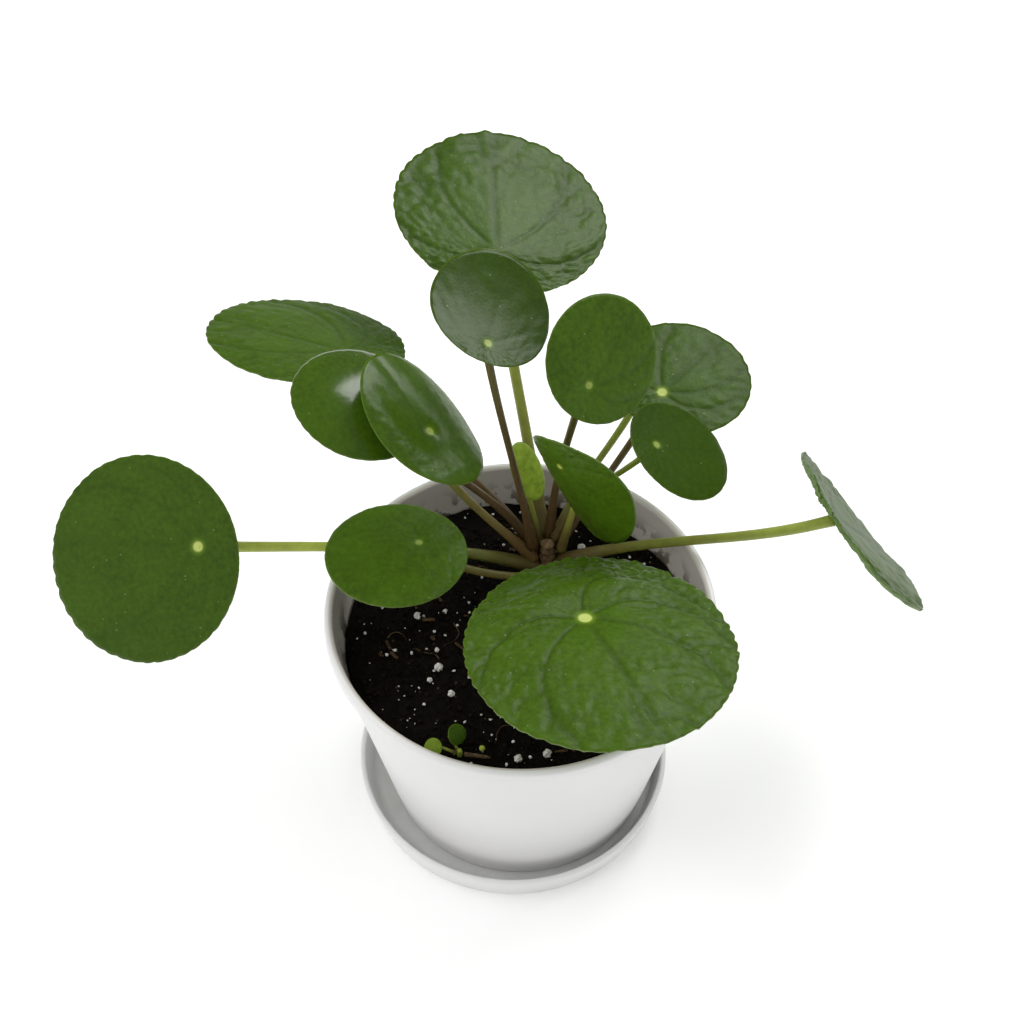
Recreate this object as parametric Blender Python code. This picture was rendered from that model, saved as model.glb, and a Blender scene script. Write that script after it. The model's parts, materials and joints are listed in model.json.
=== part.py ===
"""Potted Chinese money plant (Pilea peperomioides) in a tapered plastic pot on a saucer.

Units are metres, +Z is up, and the origin is the centre of the saucer's underside.
The plant stands a little behind and to the right of the pot's axis. Every leaf is a
round blade held near its middle by its own leaf stalk, the petiole.
"""
import math
from collections import namedtuple

import bmesh
import bpy
from mathutils import Matrix, Vector, noise
from mathutils.bvhtree import BVHTree

# ---- Clearance between neighbouring solids -------------------------------------------
GAP = 0.0003

# ---- Pot -------------------------------------------------------------------------------
POT_RIM_RADIUS = 0.0643
POT_FOOT_RADIUS = 0.0455
POT_HEIGHT = 0.0925
POT_WALL = 0.0019
POT_FLOOR = 0.0022
POT_LIP_HEIGHT = 0.0048
POT_LIP_WIDTH = 0.0030
POT_LIP_ROUND = 0.0012
POT_FOOT_RECESS = 0.0020
POT_FOOT_RING = 0.0050
DRAIN_HOLE_RADIUS = 0.0040
DRAIN_HOLE_COUNT = 6
DRAIN_CIRCLE_RADIUS = 0.0240
POT_CORNER = 0.0015
DRAIN_SIDES = 10

# ---- Saucer: its floor takes the pot's foot, with a trough left free all round it --------
SAUCER_TROUGH = 0.0055
SAUCER_FLARE = 0.0022       # how far its rim leans out beyond its foot
SAUCER_HEIGHT = 0.0120
SAUCER_WALL = 0.0020
SAUCER_FLOOR = 0.0022
SAUCER_LIP = 0.0009
SAUCER_CORNER = 0.0012
SAUCER_X = -0.0024          # the pot stands a little off its centre

# ---- Soil ------------------------------------------------------------------------------
SOIL_DROP = 0.0150          # from the pot's rim down to the soil
SOIL_ROUGHNESS = 0.0012
SOIL_GRAIN = 0.0095
SOIL_CORNER = 0.0018
SOIL_SECTORS = 40
SOIL_RINGS = 7

# ---- Perlite: azimuth, inset from the soil's edge and diameter of each large grain -----
PERLITE_GRAINS = (
    (169, 0.0234, 0.0033), (-152, 0.0280, 0.0036), (60, 0.0160, 0.0035), (47, 0.0080, 0.0040),
    (-91, 0.0089, 0.0035), (-80, 0.0100, 0.0038), (160, 0.0315, 0.0022), (-147, 0.0232, 0.0024),
    (-166, 0.0299, 0.0022), (71, 0.0125, 0.0024), (-132, 0.0249, 0.0029),
)
GRAIN_FLATNESS = 0.75

# ---- Main stem -------------------------------------------------------------------------
STEM_X = 0.0090
STEM_Y = 0.0270
STEM_RADIUS = 0.0034
STEM_HEIGHT = 0.0150
STEM_BURIED = 0.0110
STEM_SCAR_PITCH = 0.0036
STEM_SCAR_SWELL = 0.00035
STEM_KNOB = 0.0003
STEM_TAPER = 0.22
STEM_SECTORS = 14
STEM_LEVELS = 13
SOCKET_SIDES = 16

# ---- Offset plantlet, a young side shoot near the pot's front edge ------------------------
PLANTLET_AZIMUTH = -112
PLANTLET_INSET = 0.0070     # from the soil's edge
PLANTLET_STALK = 0.0011
RUNNER_LENGTH = 0.0085
RUNNER_RADIUS = 0.0008
RUNNER_AZIMUTH = -8
BUD_RADIUS = 0.0012

# ---- Leaves ----------------------------------------------------------------------------
BLADE_THICKNESS = 0.0010
BLADE_RINGS = 5
BLADE_SECTORS = 20
PETIOLE_SIDES = 8
PETIOLE_STEPS = 12

SAUCER_FOOT_RADIUS = POT_FOOT_RADIUS + SAUCER_TROUGH + SAUCER_WALL
SAUCER_RIM_RADIUS = SAUCER_FOOT_RADIUS + SAUCER_FLARE
POT_BOTTOM = SAUCER_FLOOR + GAP
POT_TOP = POT_BOTTOM + POT_HEIGHT
SOIL_TOP = POT_TOP - SOIL_DROP
SMOOTH_ANGLE = math.radians(35)
SEG = 48

WHITE_PLASTIC = (0.86, 0.87, 0.87)
SOIL_BLACK = (0.020, 0.014, 0.009)
PERLITE_WHITE = (0.80, 0.79, 0.75)
STEM_BROWN = (0.105, 0.062, 0.022)
LEAF_GREEN = (0.045, 0.110, 0.012)
LEAF_DARK = (0.028, 0.070, 0.012)
LEAF_YOUNG = (0.170, 0.240, 0.020)
STALK_GREEN = (0.300, 0.370, 0.070)
STALK_BROWN = (0.110, 0.075, 0.020)

# A crown is the stem that leaves grow from: its place, its radius, the level that the
# feet of the stalks are measured from, and the level that the blades are measured from.
Crown = namedtuple("Crown", "x y radius foot_level blade_level")

# One leaf. The hub is where the stalk meets the blade: reach and azimuth from the crown,
# height above its blade level. The blade leans by tilt towards face, and spin turns
# its long axis about the hub. The outline is an ellipse, length by width, set off from
# the hub along (ahead) and across (aside) the long axis, as shares of its half sizes.
# roll and arch bend the blade's sides and ends down, in degrees from hub to margin.
# base is the height of the stalk's foot on the stem above the soil, leave the azimuth
# and rise the slope at which it sets off, and meet says how square it meets the blade.
Leaf = namedtuple("Leaf", "name reach azimuth height face tilt spin length width ahead aside "
                          "roll arch base leave rise meet stalk blade_colour stalk_colour")
LEAF_DEFAULTS = dict(ahead=0.35, aside=0.0, roll=6, arch=6, leave=None, meet=0.5,
                     stalk=0.0031, blade_colour=LEAF_GREEN, stalk_colour=STALK_GREEN)


def leaf(name, **sizes):
    """Return one leaf, with the usual value for each size that isn't given."""
    values = dict(LEAF_DEFAULTS)
    values.update(sizes)
    return Leaf(name=name, **values)


LEAVES = [
    leaf("far_left", reach=0.1149, azimuth=-174, height=0.0130, face=-109, tilt=43, spin=-55,
         length=0.0683, width=0.0692, ahead=0.59, aside=-0.09, base=0.0050, leave=-158, rise=44,
         meet=0.47, stalk=0.0031),
    leaf("back_left", reach=0.0844, azimuth=144, height=0.0410, face=58, tilt=22, spin=100,
         length=0.0679, width=0.0679, ahead=0.44, aside=-0.05, base=0.0052, leave=137, rise=52,
         meet=0.11, stalk=0.0030, stalk_colour=STALK_BROWN),
    leaf("domed", reach=0.0617, azimuth=171, height=0.0600, face=-26, tilt=16, spin=-164,
         length=0.0467, width=0.0463, ahead=-0.09, aside=-0.12, roll=28, arch=28, base=0.0108,
         leave=152, rise=55, meet=0.16, stalk=0.0028, stalk_colour=STALK_BROWN),
    leaf("long", reach=0.0377, azimuth=180, height=0.0550, face=-12, tilt=34, spin=149,
         length=0.0507, width=0.0365, ahead=0.19, aside=-0.08, roll=32, arch=6, base=0.0085,
         leave=-176, rise=57, meet=0.38, stalk=0.0031),
    leaf("low_left", reach=0.0438, azimuth=-164, height=0.0150, face=67, tilt=7, spin=139,
         length=0.0463, width=0.0467, ahead=0.37, aside=0.05, base=0.0037, leave=-115, rise=40,
         meet=0.41, stalk=0.0031),
    leaf("top", reach=0.0812, azimuth=102, height=0.0600, face=-43, tilt=14, spin=132,
         length=0.0747, width=0.0757, ahead=0.55, aside=-0.03, base=0.0081, leave=100, rise=45,
         meet=0.11, stalk=0.0034),
    leaf("upper_middle", reach=0.0219, azimuth=151, height=0.0830, face=-47, tilt=34, spin=144,
         length=0.0403, width=0.0405, ahead=0.61, aside=-0.12, base=0.0147, leave=179, rise=83,
         meet=0.08, stalk=0.0027, stalk_colour=STALK_BROWN),
    leaf("upper_right", reach=0.0132, azimuth=25, height=0.0700, face=-57, tilt=59, spin=143,
         length=0.0406, width=0.0408, ahead=0.44, aside=-0.12, base=0.0112, leave=81, rise=72,
         meet=0.06, stalk=0.0028, stalk_colour=STALK_BROWN),
    leaf("back_right", reach=0.0547, azimuth=45, height=0.0330, face=-77, tilt=8, spin=126,
         length=0.0485, width=0.0484, ahead=0.40, aside=-0.02, base=0.0103, leave=41, rise=40,
         meet=0.13, stalk=0.0028, stalk_colour=STALK_BROWN),
    leaf("dark_right", reach=0.0344, azimuth=6, height=0.0450, face=-9, tilt=27, spin=21,
         length=0.0373, width=0.0374, ahead=0.49, aside=-0.02, base=0.0147, leave=50, rise=54,
         meet=0.18, stalk=0.0022, blade_colour=LEAF_DARK),
    leaf("front", reach=0.0548, azimuth=-79, height=0.0290, face=92, tilt=15, spin=-177,
         length=0.0902, width=0.0826, ahead=0.27, aside=0.08, base=0.0053, leave=-72, rise=54,
         meet=0.50, stalk=0.0033),
    leaf("far_right", reach=0.0939, azimuth=-2, height=0.0170, face=17, tilt=54, spin=50,
         length=0.0678, width=0.0673, ahead=0.66, aside=-0.46, roll=-4, arch=4, base=0.0054,
         leave=-1, rise=29, meet=0.25, stalk=0.0033),
    leaf("folded", reach=0.0122, azimuth=-75, height=0.0520, face=-133, tilt=97, spin=24,
         length=0.0467, width=0.0410, ahead=0.52, roll=45, arch=8, base=0.0130,
         leave=0, rise=80, meet=0.95, stalk=0.0024),
    leaf("young", reach=0.0132, azimuth=117, height=0.0220, face=-51, tilt=46, spin=174,
         length=0.0205, width=0.0115, ahead=0.10, roll=32, arch=12, base=0.0114,
         leave=117, rise=66, meet=0.40, stalk=0.0020, blade_colour=LEAF_YOUNG),
    leaf("sheltered", reach=0.0631, azimuth=58, height=0.0200, face=45, tilt=6, spin=0,
         length=0.0180, width=0.0180, ahead=0.30, aside=0.00, base=0.0052, leave=72, rise=39,
         meet=0.23, stalk=0.0028),
]

PLANTLET_LEAVES = [
    leaf("plantlet_light", reach=0.0082, azimuth=172, height=0.0048, face=-100, tilt=28, spin=0,
         length=0.0060, width=0.0056, roll=12, base=0.0014, rise=40, stalk=PLANTLET_STALK,
         blade_colour=LEAF_YOUNG),
    leaf("plantlet_dark", reach=0.0040, azimuth=118, height=0.0060, face=-30, tilt=48, spin=60,
         length=0.0076, width=0.0066, roll=30, base=0.0014, rise=62, stalk=PLANTLET_STALK),
]

MATERIALS = {}


def material(colour, roughness):
    """Return the Principled material of this colour and roughness, made once."""
    key = (colour, roughness)
    if key not in MATERIALS:
        made = bpy.data.materials.new("finish_%02d" % len(MATERIALS))
        made.use_nodes = True
        shader = made.node_tree.nodes["Principled BSDF"]
        shader.inputs["Base Color"].default_value = (*colour, 1.0)
        shader.inputs["Roughness"].default_value = roughness
        shader.inputs["Metallic"].default_value = 0.0
        made.diffuse_color = (*colour, 1.0)
        MATERIALS[key] = made
    return MATERIALS[key]


def add_object(name, data, finish):
    """Link a mesh or curve to the scene as one named piece with its material."""
    piece = bpy.data.objects.new(name, data)
    data.materials.append(finish)
    bpy.context.scene.collection.objects.link(piece)
    return piece


def add_mesh(name, shape, finish, smooth=True):
    """Turn a bmesh into a named piece."""
    mesh = bpy.data.meshes.new(name)
    shape.to_mesh(mesh)
    shape.free()
    if smooth:
        mesh.shade_smooth()
        mesh.set_sharp_from_angle(angle=SMOOTH_ANGLE)
    return add_object(name, mesh, finish)


def turned(profile, segments=SEG):
    """Spin a closed profile of (radius, height) points about the Z axis."""
    shape = bmesh.new()
    points = [shape.verts.new((radius, 0.0, height)) for radius, height in profile]
    loop = [shape.edges.new((points[i], points[(i + 1) % len(points)])) for i in range(len(points))]
    bmesh.ops.spin(shape, geom=points + loop, axis=(0, 0, 1), cent=(0, 0, 0),
                   angle=math.tau, steps=segments, use_merge=True, use_duplicate=False)
    bmesh.ops.remove_doubles(shape, verts=shape.verts, dist=1e-6)
    bmesh.ops.recalc_face_normals(shape, faces=shape.faces)
    return shape


def cut(piece, cutter):
    """Cut one piece with another, which stays as a hidden guide."""
    cutter.hide_render = True
    cutter.display_type = "WIRE"
    step = piece.modifiers.new("cut_" + cutter.name, "BOOLEAN")
    step.operation = "DIFFERENCE"
    step.solver = "EXACT"
    step.object = cutter


def arc(centre, radius, start, end, steps):
    """Points of an arc in the profile's plane, angles in degrees."""
    turns = [math.radians(start + (end - start) * i / steps) for i in range(steps + 1)]
    return [(centre[0] + radius * math.cos(t), centre[1] + radius * math.sin(t)) for t in turns]


# ---- Saucer: a shallow turned dish with a round lip -------------------------------------
def saucer_inner_radius(height):
    """Radius of the saucer's inner wall at a height above its underside."""
    slope = (SAUCER_RIM_RADIUS - SAUCER_FOOT_RADIUS) / SAUCER_HEIGHT
    return SAUCER_FOOT_RADIUS + slope * height - SAUCER_WALL


def build_saucer():
    lip = (SAUCER_RIM_RADIUS - SAUCER_LIP, SAUCER_HEIGHT - SAUCER_LIP)
    corner = SAUCER_CORNER
    profile = [(1e-9, 0.0), (SAUCER_FOOT_RADIUS - corner, 0.0), (SAUCER_FOOT_RADIUS, corner)]
    profile += arc(lip, SAUCER_LIP, 0, 180, 5)
    profile += [(saucer_inner_radius(SAUCER_FLOOR + corner), SAUCER_FLOOR + corner),
                (saucer_inner_radius(SAUCER_FLOOR) - corner, SAUCER_FLOOR), (1e-9, SAUCER_FLOOR)]
    saucer = add_mesh("saucer", turned(profile), material(WHITE_PLASTIC, 0.32))
    saucer.location.x = SAUCER_X
    return saucer


# ---- Pot: a tapered wall under a rolled lip, on a foot ring, with drain holes -----------
def pot_outer_radius(height):
    """Radius of the pot's outer wall below its lip, at a height above its foot."""
    wall_top = POT_RIM_RADIUS - POT_LIP_WIDTH + POT_WALL
    slope = (wall_top - POT_FOOT_RADIUS) / POT_HEIGHT
    return POT_FOOT_RADIUS + slope * height


def pot_inner_radius(height):
    return pot_outer_radius(height) - POT_WALL


def build_pot():
    lip_bottom = POT_HEIGHT - POT_LIP_HEIGHT
    lip_inner = pot_inner_radius(POT_HEIGHT)
    floor_top = POT_FOOT_RECESS + POT_FLOOR
    recess = POT_FOOT_RADIUS - POT_FOOT_RING
    corner = POT_CORNER
    profile = [(1e-9, POT_FOOT_RECESS), (recess, POT_FOOT_RECESS), (recess + corner, 0.0),
               (POT_FOOT_RADIUS - corner, 0.0), (pot_outer_radius(corner), corner),
               (pot_outer_radius(lip_bottom), lip_bottom),
               (POT_RIM_RADIUS - POT_LIP_ROUND / 2, lip_bottom)]
    outer_round = (POT_RIM_RADIUS - POT_LIP_ROUND, POT_HEIGHT - POT_LIP_ROUND)
    inner_round = (lip_inner + POT_LIP_ROUND, POT_HEIGHT - POT_LIP_ROUND)
    profile += [(POT_RIM_RADIUS, lip_bottom + POT_LIP_ROUND / 2)]
    profile += arc(outer_round, POT_LIP_ROUND, 0, 90, 3)
    profile += arc(inner_round, POT_LIP_ROUND, 90, 180, 3)
    profile += [(pot_inner_radius(floor_top + corner), floor_top + corner),
                (pot_inner_radius(floor_top) - corner, floor_top), (1e-9, floor_top)]
    shape = turned([(radius, POT_BOTTOM + height) for radius, height in profile])
    pot = add_mesh("pot", shape, material(WHITE_PLASTIC, 0.30))
    for index in range(DRAIN_HOLE_COUNT):
        turn = math.tau * index / DRAIN_HOLE_COUNT
        drill = bmesh.new()
        place = Matrix.Translation((DRAIN_CIRCLE_RADIUS * math.cos(turn),
                                    DRAIN_CIRCLE_RADIUS * math.sin(turn), POT_BOTTOM + floor_top / 2))
        bmesh.ops.create_cone(drill, cap_ends=True, segments=DRAIN_SIDES, radius1=DRAIN_HOLE_RADIUS,
                              radius2=DRAIN_HOLE_RADIUS, depth=floor_top * 2, matrix=place)
        cut(pot, add_mesh("drain_drill_%d" % index, drill, material(WHITE_PLASTIC, 0.30), smooth=False))
    return pot


# ---- Soil: a tapered plug with a rough top and a socket for the stem -------------------
def soil_height(x, y):
    """Height of the soil's rough surface."""
    fine = noise.noise(Vector((x / SOIL_GRAIN, y / SOIL_GRAIN, 3.1)))
    coarse = noise.noise(Vector((x / SOIL_GRAIN / 3, y / SOIL_GRAIN / 3, 7.7)))
    return SOIL_TOP + SOIL_ROUGHNESS * (0.8 * fine + 0.9 * coarse)


def ring_of(shape, radius, height_at):
    """A ring of the soil's vertices about the Z axis."""
    ring = []
    for index in range(SOIL_SECTORS):
        turn = math.tau * index / SOIL_SECTORS
        x = radius * math.cos(turn)
        y = radius * math.sin(turn)
        ring.append(shape.verts.new((x, y, height_at(x, y))))
    return ring


def join_rings(shape, lower, upper):
    """Faces between two rings of equal count, facing out when lower lies outside or below."""
    count = len(lower)
    for index in range(count):
        after = (index + 1) % count
        shape.faces.new((lower[index], lower[after], upper[after], upper[index]))


def build_soil():
    bottom = POT_BOTTOM + POT_FOOT_RECESS + POT_FLOOR + GAP
    low = bottom - POT_BOTTOM + POT_CORNER
    foot = pot_inner_radius(low) * math.cos(math.pi / SEG) - 2 * GAP
    edge = pot_inner_radius(SOIL_TOP - SOIL_ROUGHNESS - POT_BOTTOM) * math.cos(math.pi / SEG) - GAP
    shape = bmesh.new()
    rings = [ring_of(shape, foot - SOIL_CORNER, lambda x, y: bottom),
             ring_of(shape, foot, lambda x, y: bottom + SOIL_CORNER),
             ring_of(shape, edge, lambda x, y: soil_height(x, y) - SOIL_ROUGHNESS)]
    for step in range(SOIL_RINGS - 1):
        share = 1 - step / (SOIL_RINGS - 1)
        rings.append(ring_of(shape, (edge - SOIL_ROUGHNESS / 2) * share, soil_height))
    for lower, upper in zip(rings, rings[1:]):
        join_rings(shape, lower, upper)
    shape.faces.new(list(reversed(rings[0])))
    centre = shape.verts.new((0.0, 0.0, soil_height(0.0, 0.0)))
    for index in range(SOIL_SECTORS):
        shape.faces.new((rings[-1][index], rings[-1][(index + 1) % SOIL_SECTORS], centre))
    bmesh.ops.recalc_face_normals(shape, faces=shape.faces)
    surface = BVHTree.FromBMesh(shape)
    soil = add_mesh("soil", shape, material(SOIL_BLACK, 0.95))
    socket = bmesh.new()
    radius = (STEM_RADIUS + GAP) / math.cos(math.pi / SOCKET_SIDES)
    bottom = SOIL_TOP - STEM_BURIED - GAP
    top = SOIL_TOP + STEM_HEIGHT
    place = Matrix.Translation((STEM_X, STEM_Y, (bottom + top) / 2))
    bmesh.ops.create_cone(socket, cap_ends=True, segments=SOCKET_SIDES, radius1=radius,
                          radius2=radius, depth=top - bottom, matrix=place)
    cut(soil, add_mesh("stem_socket", socket, material(SOIL_BLACK, 0.95), smooth=False))
    return surface


# ---- Main stem: short and knobbly, ringed by the scars of old leaves ---------------------
def build_main_stem():
    shape = bmesh.new()
    bottom = SOIL_TOP - STEM_BURIED
    tall = STEM_BURIED + STEM_HEIGHT
    rings = []
    for step in range(STEM_LEVELS):
        height = bottom + tall * step / (STEM_LEVELS - 1)
        above = max(0.0, height - SOIL_TOP - SOIL_ROUGHNESS * 2)
        knobbly = 1.0 if above > 0.0 else 0.0
        swell = knobbly * STEM_SCAR_SWELL * math.sin(math.tau * above / STEM_SCAR_PITCH)
        taper = 1.0 - STEM_TAPER * above / STEM_HEIGHT
        ring = []
        for index in range(STEM_SECTORS):
            turn = math.tau * index / STEM_SECTORS
            knob = knobbly * STEM_KNOB * math.sin(3 * turn + 900 * above)
            radius = (STEM_RADIUS - STEM_SCAR_SWELL - STEM_KNOB) * taper + swell + knob
            ring.append(shape.verts.new((STEM_X + radius * math.cos(turn),
                                         STEM_Y + radius * math.sin(turn), height)))
        rings.append(ring)
    for lower, upper in zip(rings, rings[1:]):
        join_rings(shape, lower, upper)
    shape.faces.new(list(reversed(rings[0])))
    shape.faces.new(rings[-1])
    bmesh.ops.recalc_face_normals(shape, faces=shape.faces)
    return add_mesh("main_stem", shape, material(STEM_BROWN, 0.75))


# ---- Leaves --------------------------------------------------------------------------------
def blade_frame(one, crown):
    """The blade's hub and its long, cross and upward axes."""
    face = math.radians(one.face)
    tilt = math.radians(one.tilt)
    azimuth = math.radians(one.azimuth)
    up = Vector((math.sin(tilt) * math.cos(face), math.sin(tilt) * math.sin(face), math.cos(tilt)))
    downhill = Vector((math.cos(tilt) * math.cos(face), math.cos(tilt) * math.sin(face), -math.sin(tilt)))
    along = Matrix.Rotation(math.radians(one.spin), 3, up) @ downhill
    hub = Vector((crown.x + one.reach * math.cos(azimuth), crown.y + one.reach * math.sin(azimuth),
                  crown.blade_level + one.height))
    return hub, along, up.cross(along), up


def outline_radius(one, turn):
    """Distance from the hub to the blade's margin, in the direction turn."""
    a = one.length / 2
    b = one.width / 2
    cx = one.ahead * a
    cy = one.aside * b
    dx = math.cos(turn)
    dy = math.sin(turn)
    p = (dx / a) ** 2 + (dy / b) ** 2
    q = -2 * (dx * cx / a ** 2 + dy * cy / b ** 2)
    s = (cx / a) ** 2 + (cy / b) ** 2 - 1
    return (-q + math.sqrt(q * q - 4 * p * s)) / (2 * p)


def bend(distance, height, size, angle):
    """Bend a strip down by angle over its size: return the new distance and height."""
    if abs(angle) < 0.5:
        return distance, height
    radius = size / math.radians(angle)
    turn = distance / radius
    return (radius + height) * math.sin(turn), (radius + height) * math.cos(turn) - radius


def blade_point(one, frame, turn, share):
    """A point of the blade's middle surface, share of the way from hub to margin."""
    hub, along, across, up = frame
    radius = outline_radius(one, turn) * share
    v, w = bend(radius * math.sin(turn), 0.0, one.width / 2, one.roll)
    u, w = bend(radius * math.cos(turn), w, one.length / 2, one.arch)
    return hub + u * along + v * across + w * up


def build_blade(one, crown):
    frame = blade_frame(one, crown)
    shape = bmesh.new()
    rings = []
    for step in range(BLADE_RINGS, 0, -1):
        share = step / BLADE_RINGS
        rings.append([shape.verts.new(blade_point(one, frame, math.tau * k / BLADE_SECTORS, share))
                      for k in range(BLADE_SECTORS)])
    for outer, inner in zip(rings, rings[1:]):
        join_rings(shape, outer, inner)
    hub = shape.verts.new(frame[0])
    for k in range(BLADE_SECTORS):
        shape.faces.new((rings[-1][k], rings[-1][(k + 1) % BLADE_SECTORS], hub))
    blade = add_mesh("blade_" + one.name, shape, material(one.blade_colour, 0.42))
    skin = blade.modifiers.new("thickness", "SOLIDIFY")
    skin.thickness = BLADE_THICKNESS
    skin.offset = 0.0
    return blade


def petiole_ends(one, crown):
    """Start, start direction, end and end direction of a leaf's stalk."""
    hub, _, _, up = blade_frame(one, crown)
    radius = one.stalk / 2
    leave = math.radians(one.azimuth if one.leave is None else one.leave)
    rise = math.radians(one.rise)
    outward = Vector((math.cos(leave), math.sin(leave), 0.0))
    set_off = outward * math.cos(rise) + Vector((0, 0, 1)) * math.sin(rise)
    foot = Vector((crown.x, crown.y, crown.foot_level + one.base))
    start = foot + outward * (crown.radius + GAP + radius * math.sin(rise))
    chord = (hub - start).normalized()
    arrive = (up * one.meet + chord * (1 - one.meet)).normalized()
    lean = math.sqrt(max(0.0, 1 - arrive.dot(up) ** 2))
    end = hub - up * (BLADE_THICKNESS / 2 + GAP + radius * lean + 0.0002)
    return start, set_off, end, arrive


def build_petiole(one, crown):
    start, set_off, end, arrive = petiole_ends(one, crown)
    span = (end - start).length
    curve = bpy.data.curves.new("petiole_" + one.name, "CURVE")
    curve.dimensions = "3D"
    curve.bevel_depth = one.stalk / 2
    curve.bevel_resolution = (PETIOLE_SIDES - 4) // 2
    curve.use_fill_caps = True
    spline = curve.splines.new("POLY")
    spline.points.add(PETIOLE_STEPS)
    handles = (start, start + set_off * span * 0.35, end - arrive * span * 0.35, end)
    for step, point in enumerate(spline.points):
        t = step / PETIOLE_STEPS
        weights = ((1 - t) ** 3, 3 * t * (1 - t) ** 2, 3 * t * t * (1 - t), t ** 3)
        place = sum((weight * handle for weight, handle in zip(weights, handles)), Vector())
        point.co = (*place, 1.0)
        point.radius = 1.0 - 0.16 * math.sin(math.pi * t)
    return add_object("petiole_" + one.name, curve, material(one.stalk_colour, 0.5))


# ---- Plantlet: a short runner on the soil, two leaves and a bud ----------------------------
def soil_level(surface, x, y):
    """Highest level of the finished soil at a place."""
    above = Vector((x, y, POT_TOP + 0.05))
    return surface.ray_cast(above, Vector((0, 0, -1)))[0].z


def edge_radius():
    """Radius of the soil where it meets the pot."""
    return pot_inner_radius(SOIL_TOP - POT_BOTTOM)


def build_plantlet(surface):
    turn = math.radians(PLANTLET_AZIMUTH)
    out = edge_radius() - PLANTLET_INSET
    x = out * math.cos(turn)
    y = out * math.sin(turn)
    ground = soil_level(surface, x, y)
    crown = Crown(x, y, RUNNER_RADIUS * 1.3, ground, ground)
    neck = bmesh.new()
    tall = 0.0030
    place = Matrix.Translation((x, y, ground + GAP + tall / 2))
    bmesh.ops.create_cone(neck, cap_ends=True, segments=10, radius1=RUNNER_RADIUS * 1.25,
                          radius2=RUNNER_RADIUS, depth=tall, matrix=place)
    add_mesh("plantlet_crown", neck, material(STALK_GREEN, 0.6))
    heading = math.radians(RUNNER_AZIMUTH)
    steps = 6
    curve = bpy.data.curves.new("plantlet_runner", "CURVE")
    curve.dimensions = "3D"
    curve.bevel_depth = RUNNER_RADIUS
    curve.bevel_resolution = 1
    curve.use_fill_caps = True
    spline = curve.splines.new("POLY")
    spline.points.add(steps)
    for step, point in enumerate(spline.points):
        away = RUNNER_RADIUS * 1.3 + GAP + RUNNER_LENGTH * step / steps
        px = x + away * math.cos(heading)
        py = y + away * math.sin(heading)
        near = [soil_level(surface, px + dx, py + dy) for dx in (-0.001, 0.0, 0.001)
                for dy in (-0.001, 0.0, 0.001)]
        point.co = (px, py, max(near) + RUNNER_RADIUS + GAP, 1.0)
        point.radius = 1.0 - 0.3 * step / steps
    add_object("plantlet_runner", curve, material(STEM_BROWN, 0.7))
    bud = bmesh.new()
    bud_turn = heading + 0.35
    away = RUNNER_LENGTH * 0.85
    bx = x + away * math.cos(bud_turn)
    by = y + away * math.sin(bud_turn)
    place = Matrix.Translation((bx, by, soil_level(surface, bx, by) + BUD_RADIUS * 1.3 + GAP))
    bmesh.ops.create_icosphere(bud, subdivisions=1, radius=BUD_RADIUS, matrix=place)
    add_mesh("plantlet_bud", bud, material(LEAF_YOUNG, 0.6))
    for one in PLANTLET_LEAVES:
        build_blade(one, crown)
        build_petiole(one, crown)


# ---- Perlite: white grains lying on the soil ------------------------------------------------
def build_perlite(surface):
    for index, (azimuth, inset, size) in enumerate(PERLITE_GRAINS):
        turn = math.radians(azimuth)
        out = edge_radius() - inset
        x = out * math.cos(turn)
        y = out * math.sin(turn)
        half = size / 2
        near = [soil_level(surface, x + half * dx, y + half * dy)
                for dx in (-1, -0.5, 0, 0.5, 1) for dy in (-1, -0.5, 0, 0.5, 1)]
        level = max(near) + GAP + half * GRAIN_FLATNESS
        grain = bmesh.new()
        bmesh.ops.create_icosphere(grain, subdivisions=1, radius=half)
        for vert in grain.verts:
            lump = noise.noise(vert.co / half + Vector((index * 2.7, 0.0, 0.0)))
            vert.co *= 0.90 + 0.10 * lump
            vert.co.z *= GRAIN_FLATNESS
        bmesh.ops.rotate(grain, verts=grain.verts, matrix=Matrix.Rotation(index * 1.9, 3, "Z"))
        bmesh.ops.translate(grain, verts=grain.verts, vec=(x, y, level))
        add_mesh("perlite_%02d" % (index + 1), grain, material(PERLITE_WHITE, 0.9), smooth=False)


def main():
    for old in list(bpy.data.objects):
        bpy.data.objects.remove(old)
    build_saucer()
    build_pot()
    surface = build_soil()
    build_main_stem()
    crown = Crown(STEM_X, STEM_Y, STEM_RADIUS, SOIL_TOP, POT_TOP)
    for one in LEAVES:
        build_blade(one, crown)
        build_petiole(one, crown)
    build_plantlet(surface)
    build_perlite(surface)


main()
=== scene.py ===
"""Looks of the potted Chinese money plant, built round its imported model.

Units are metres, +Z is up, and the origin is the centre of the saucer's underside.
"""
import json
import math
import random
from collections import namedtuple

import bmesh
import bpy
import numpy as np
from mathutils import Matrix, Vector, noise

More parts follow.
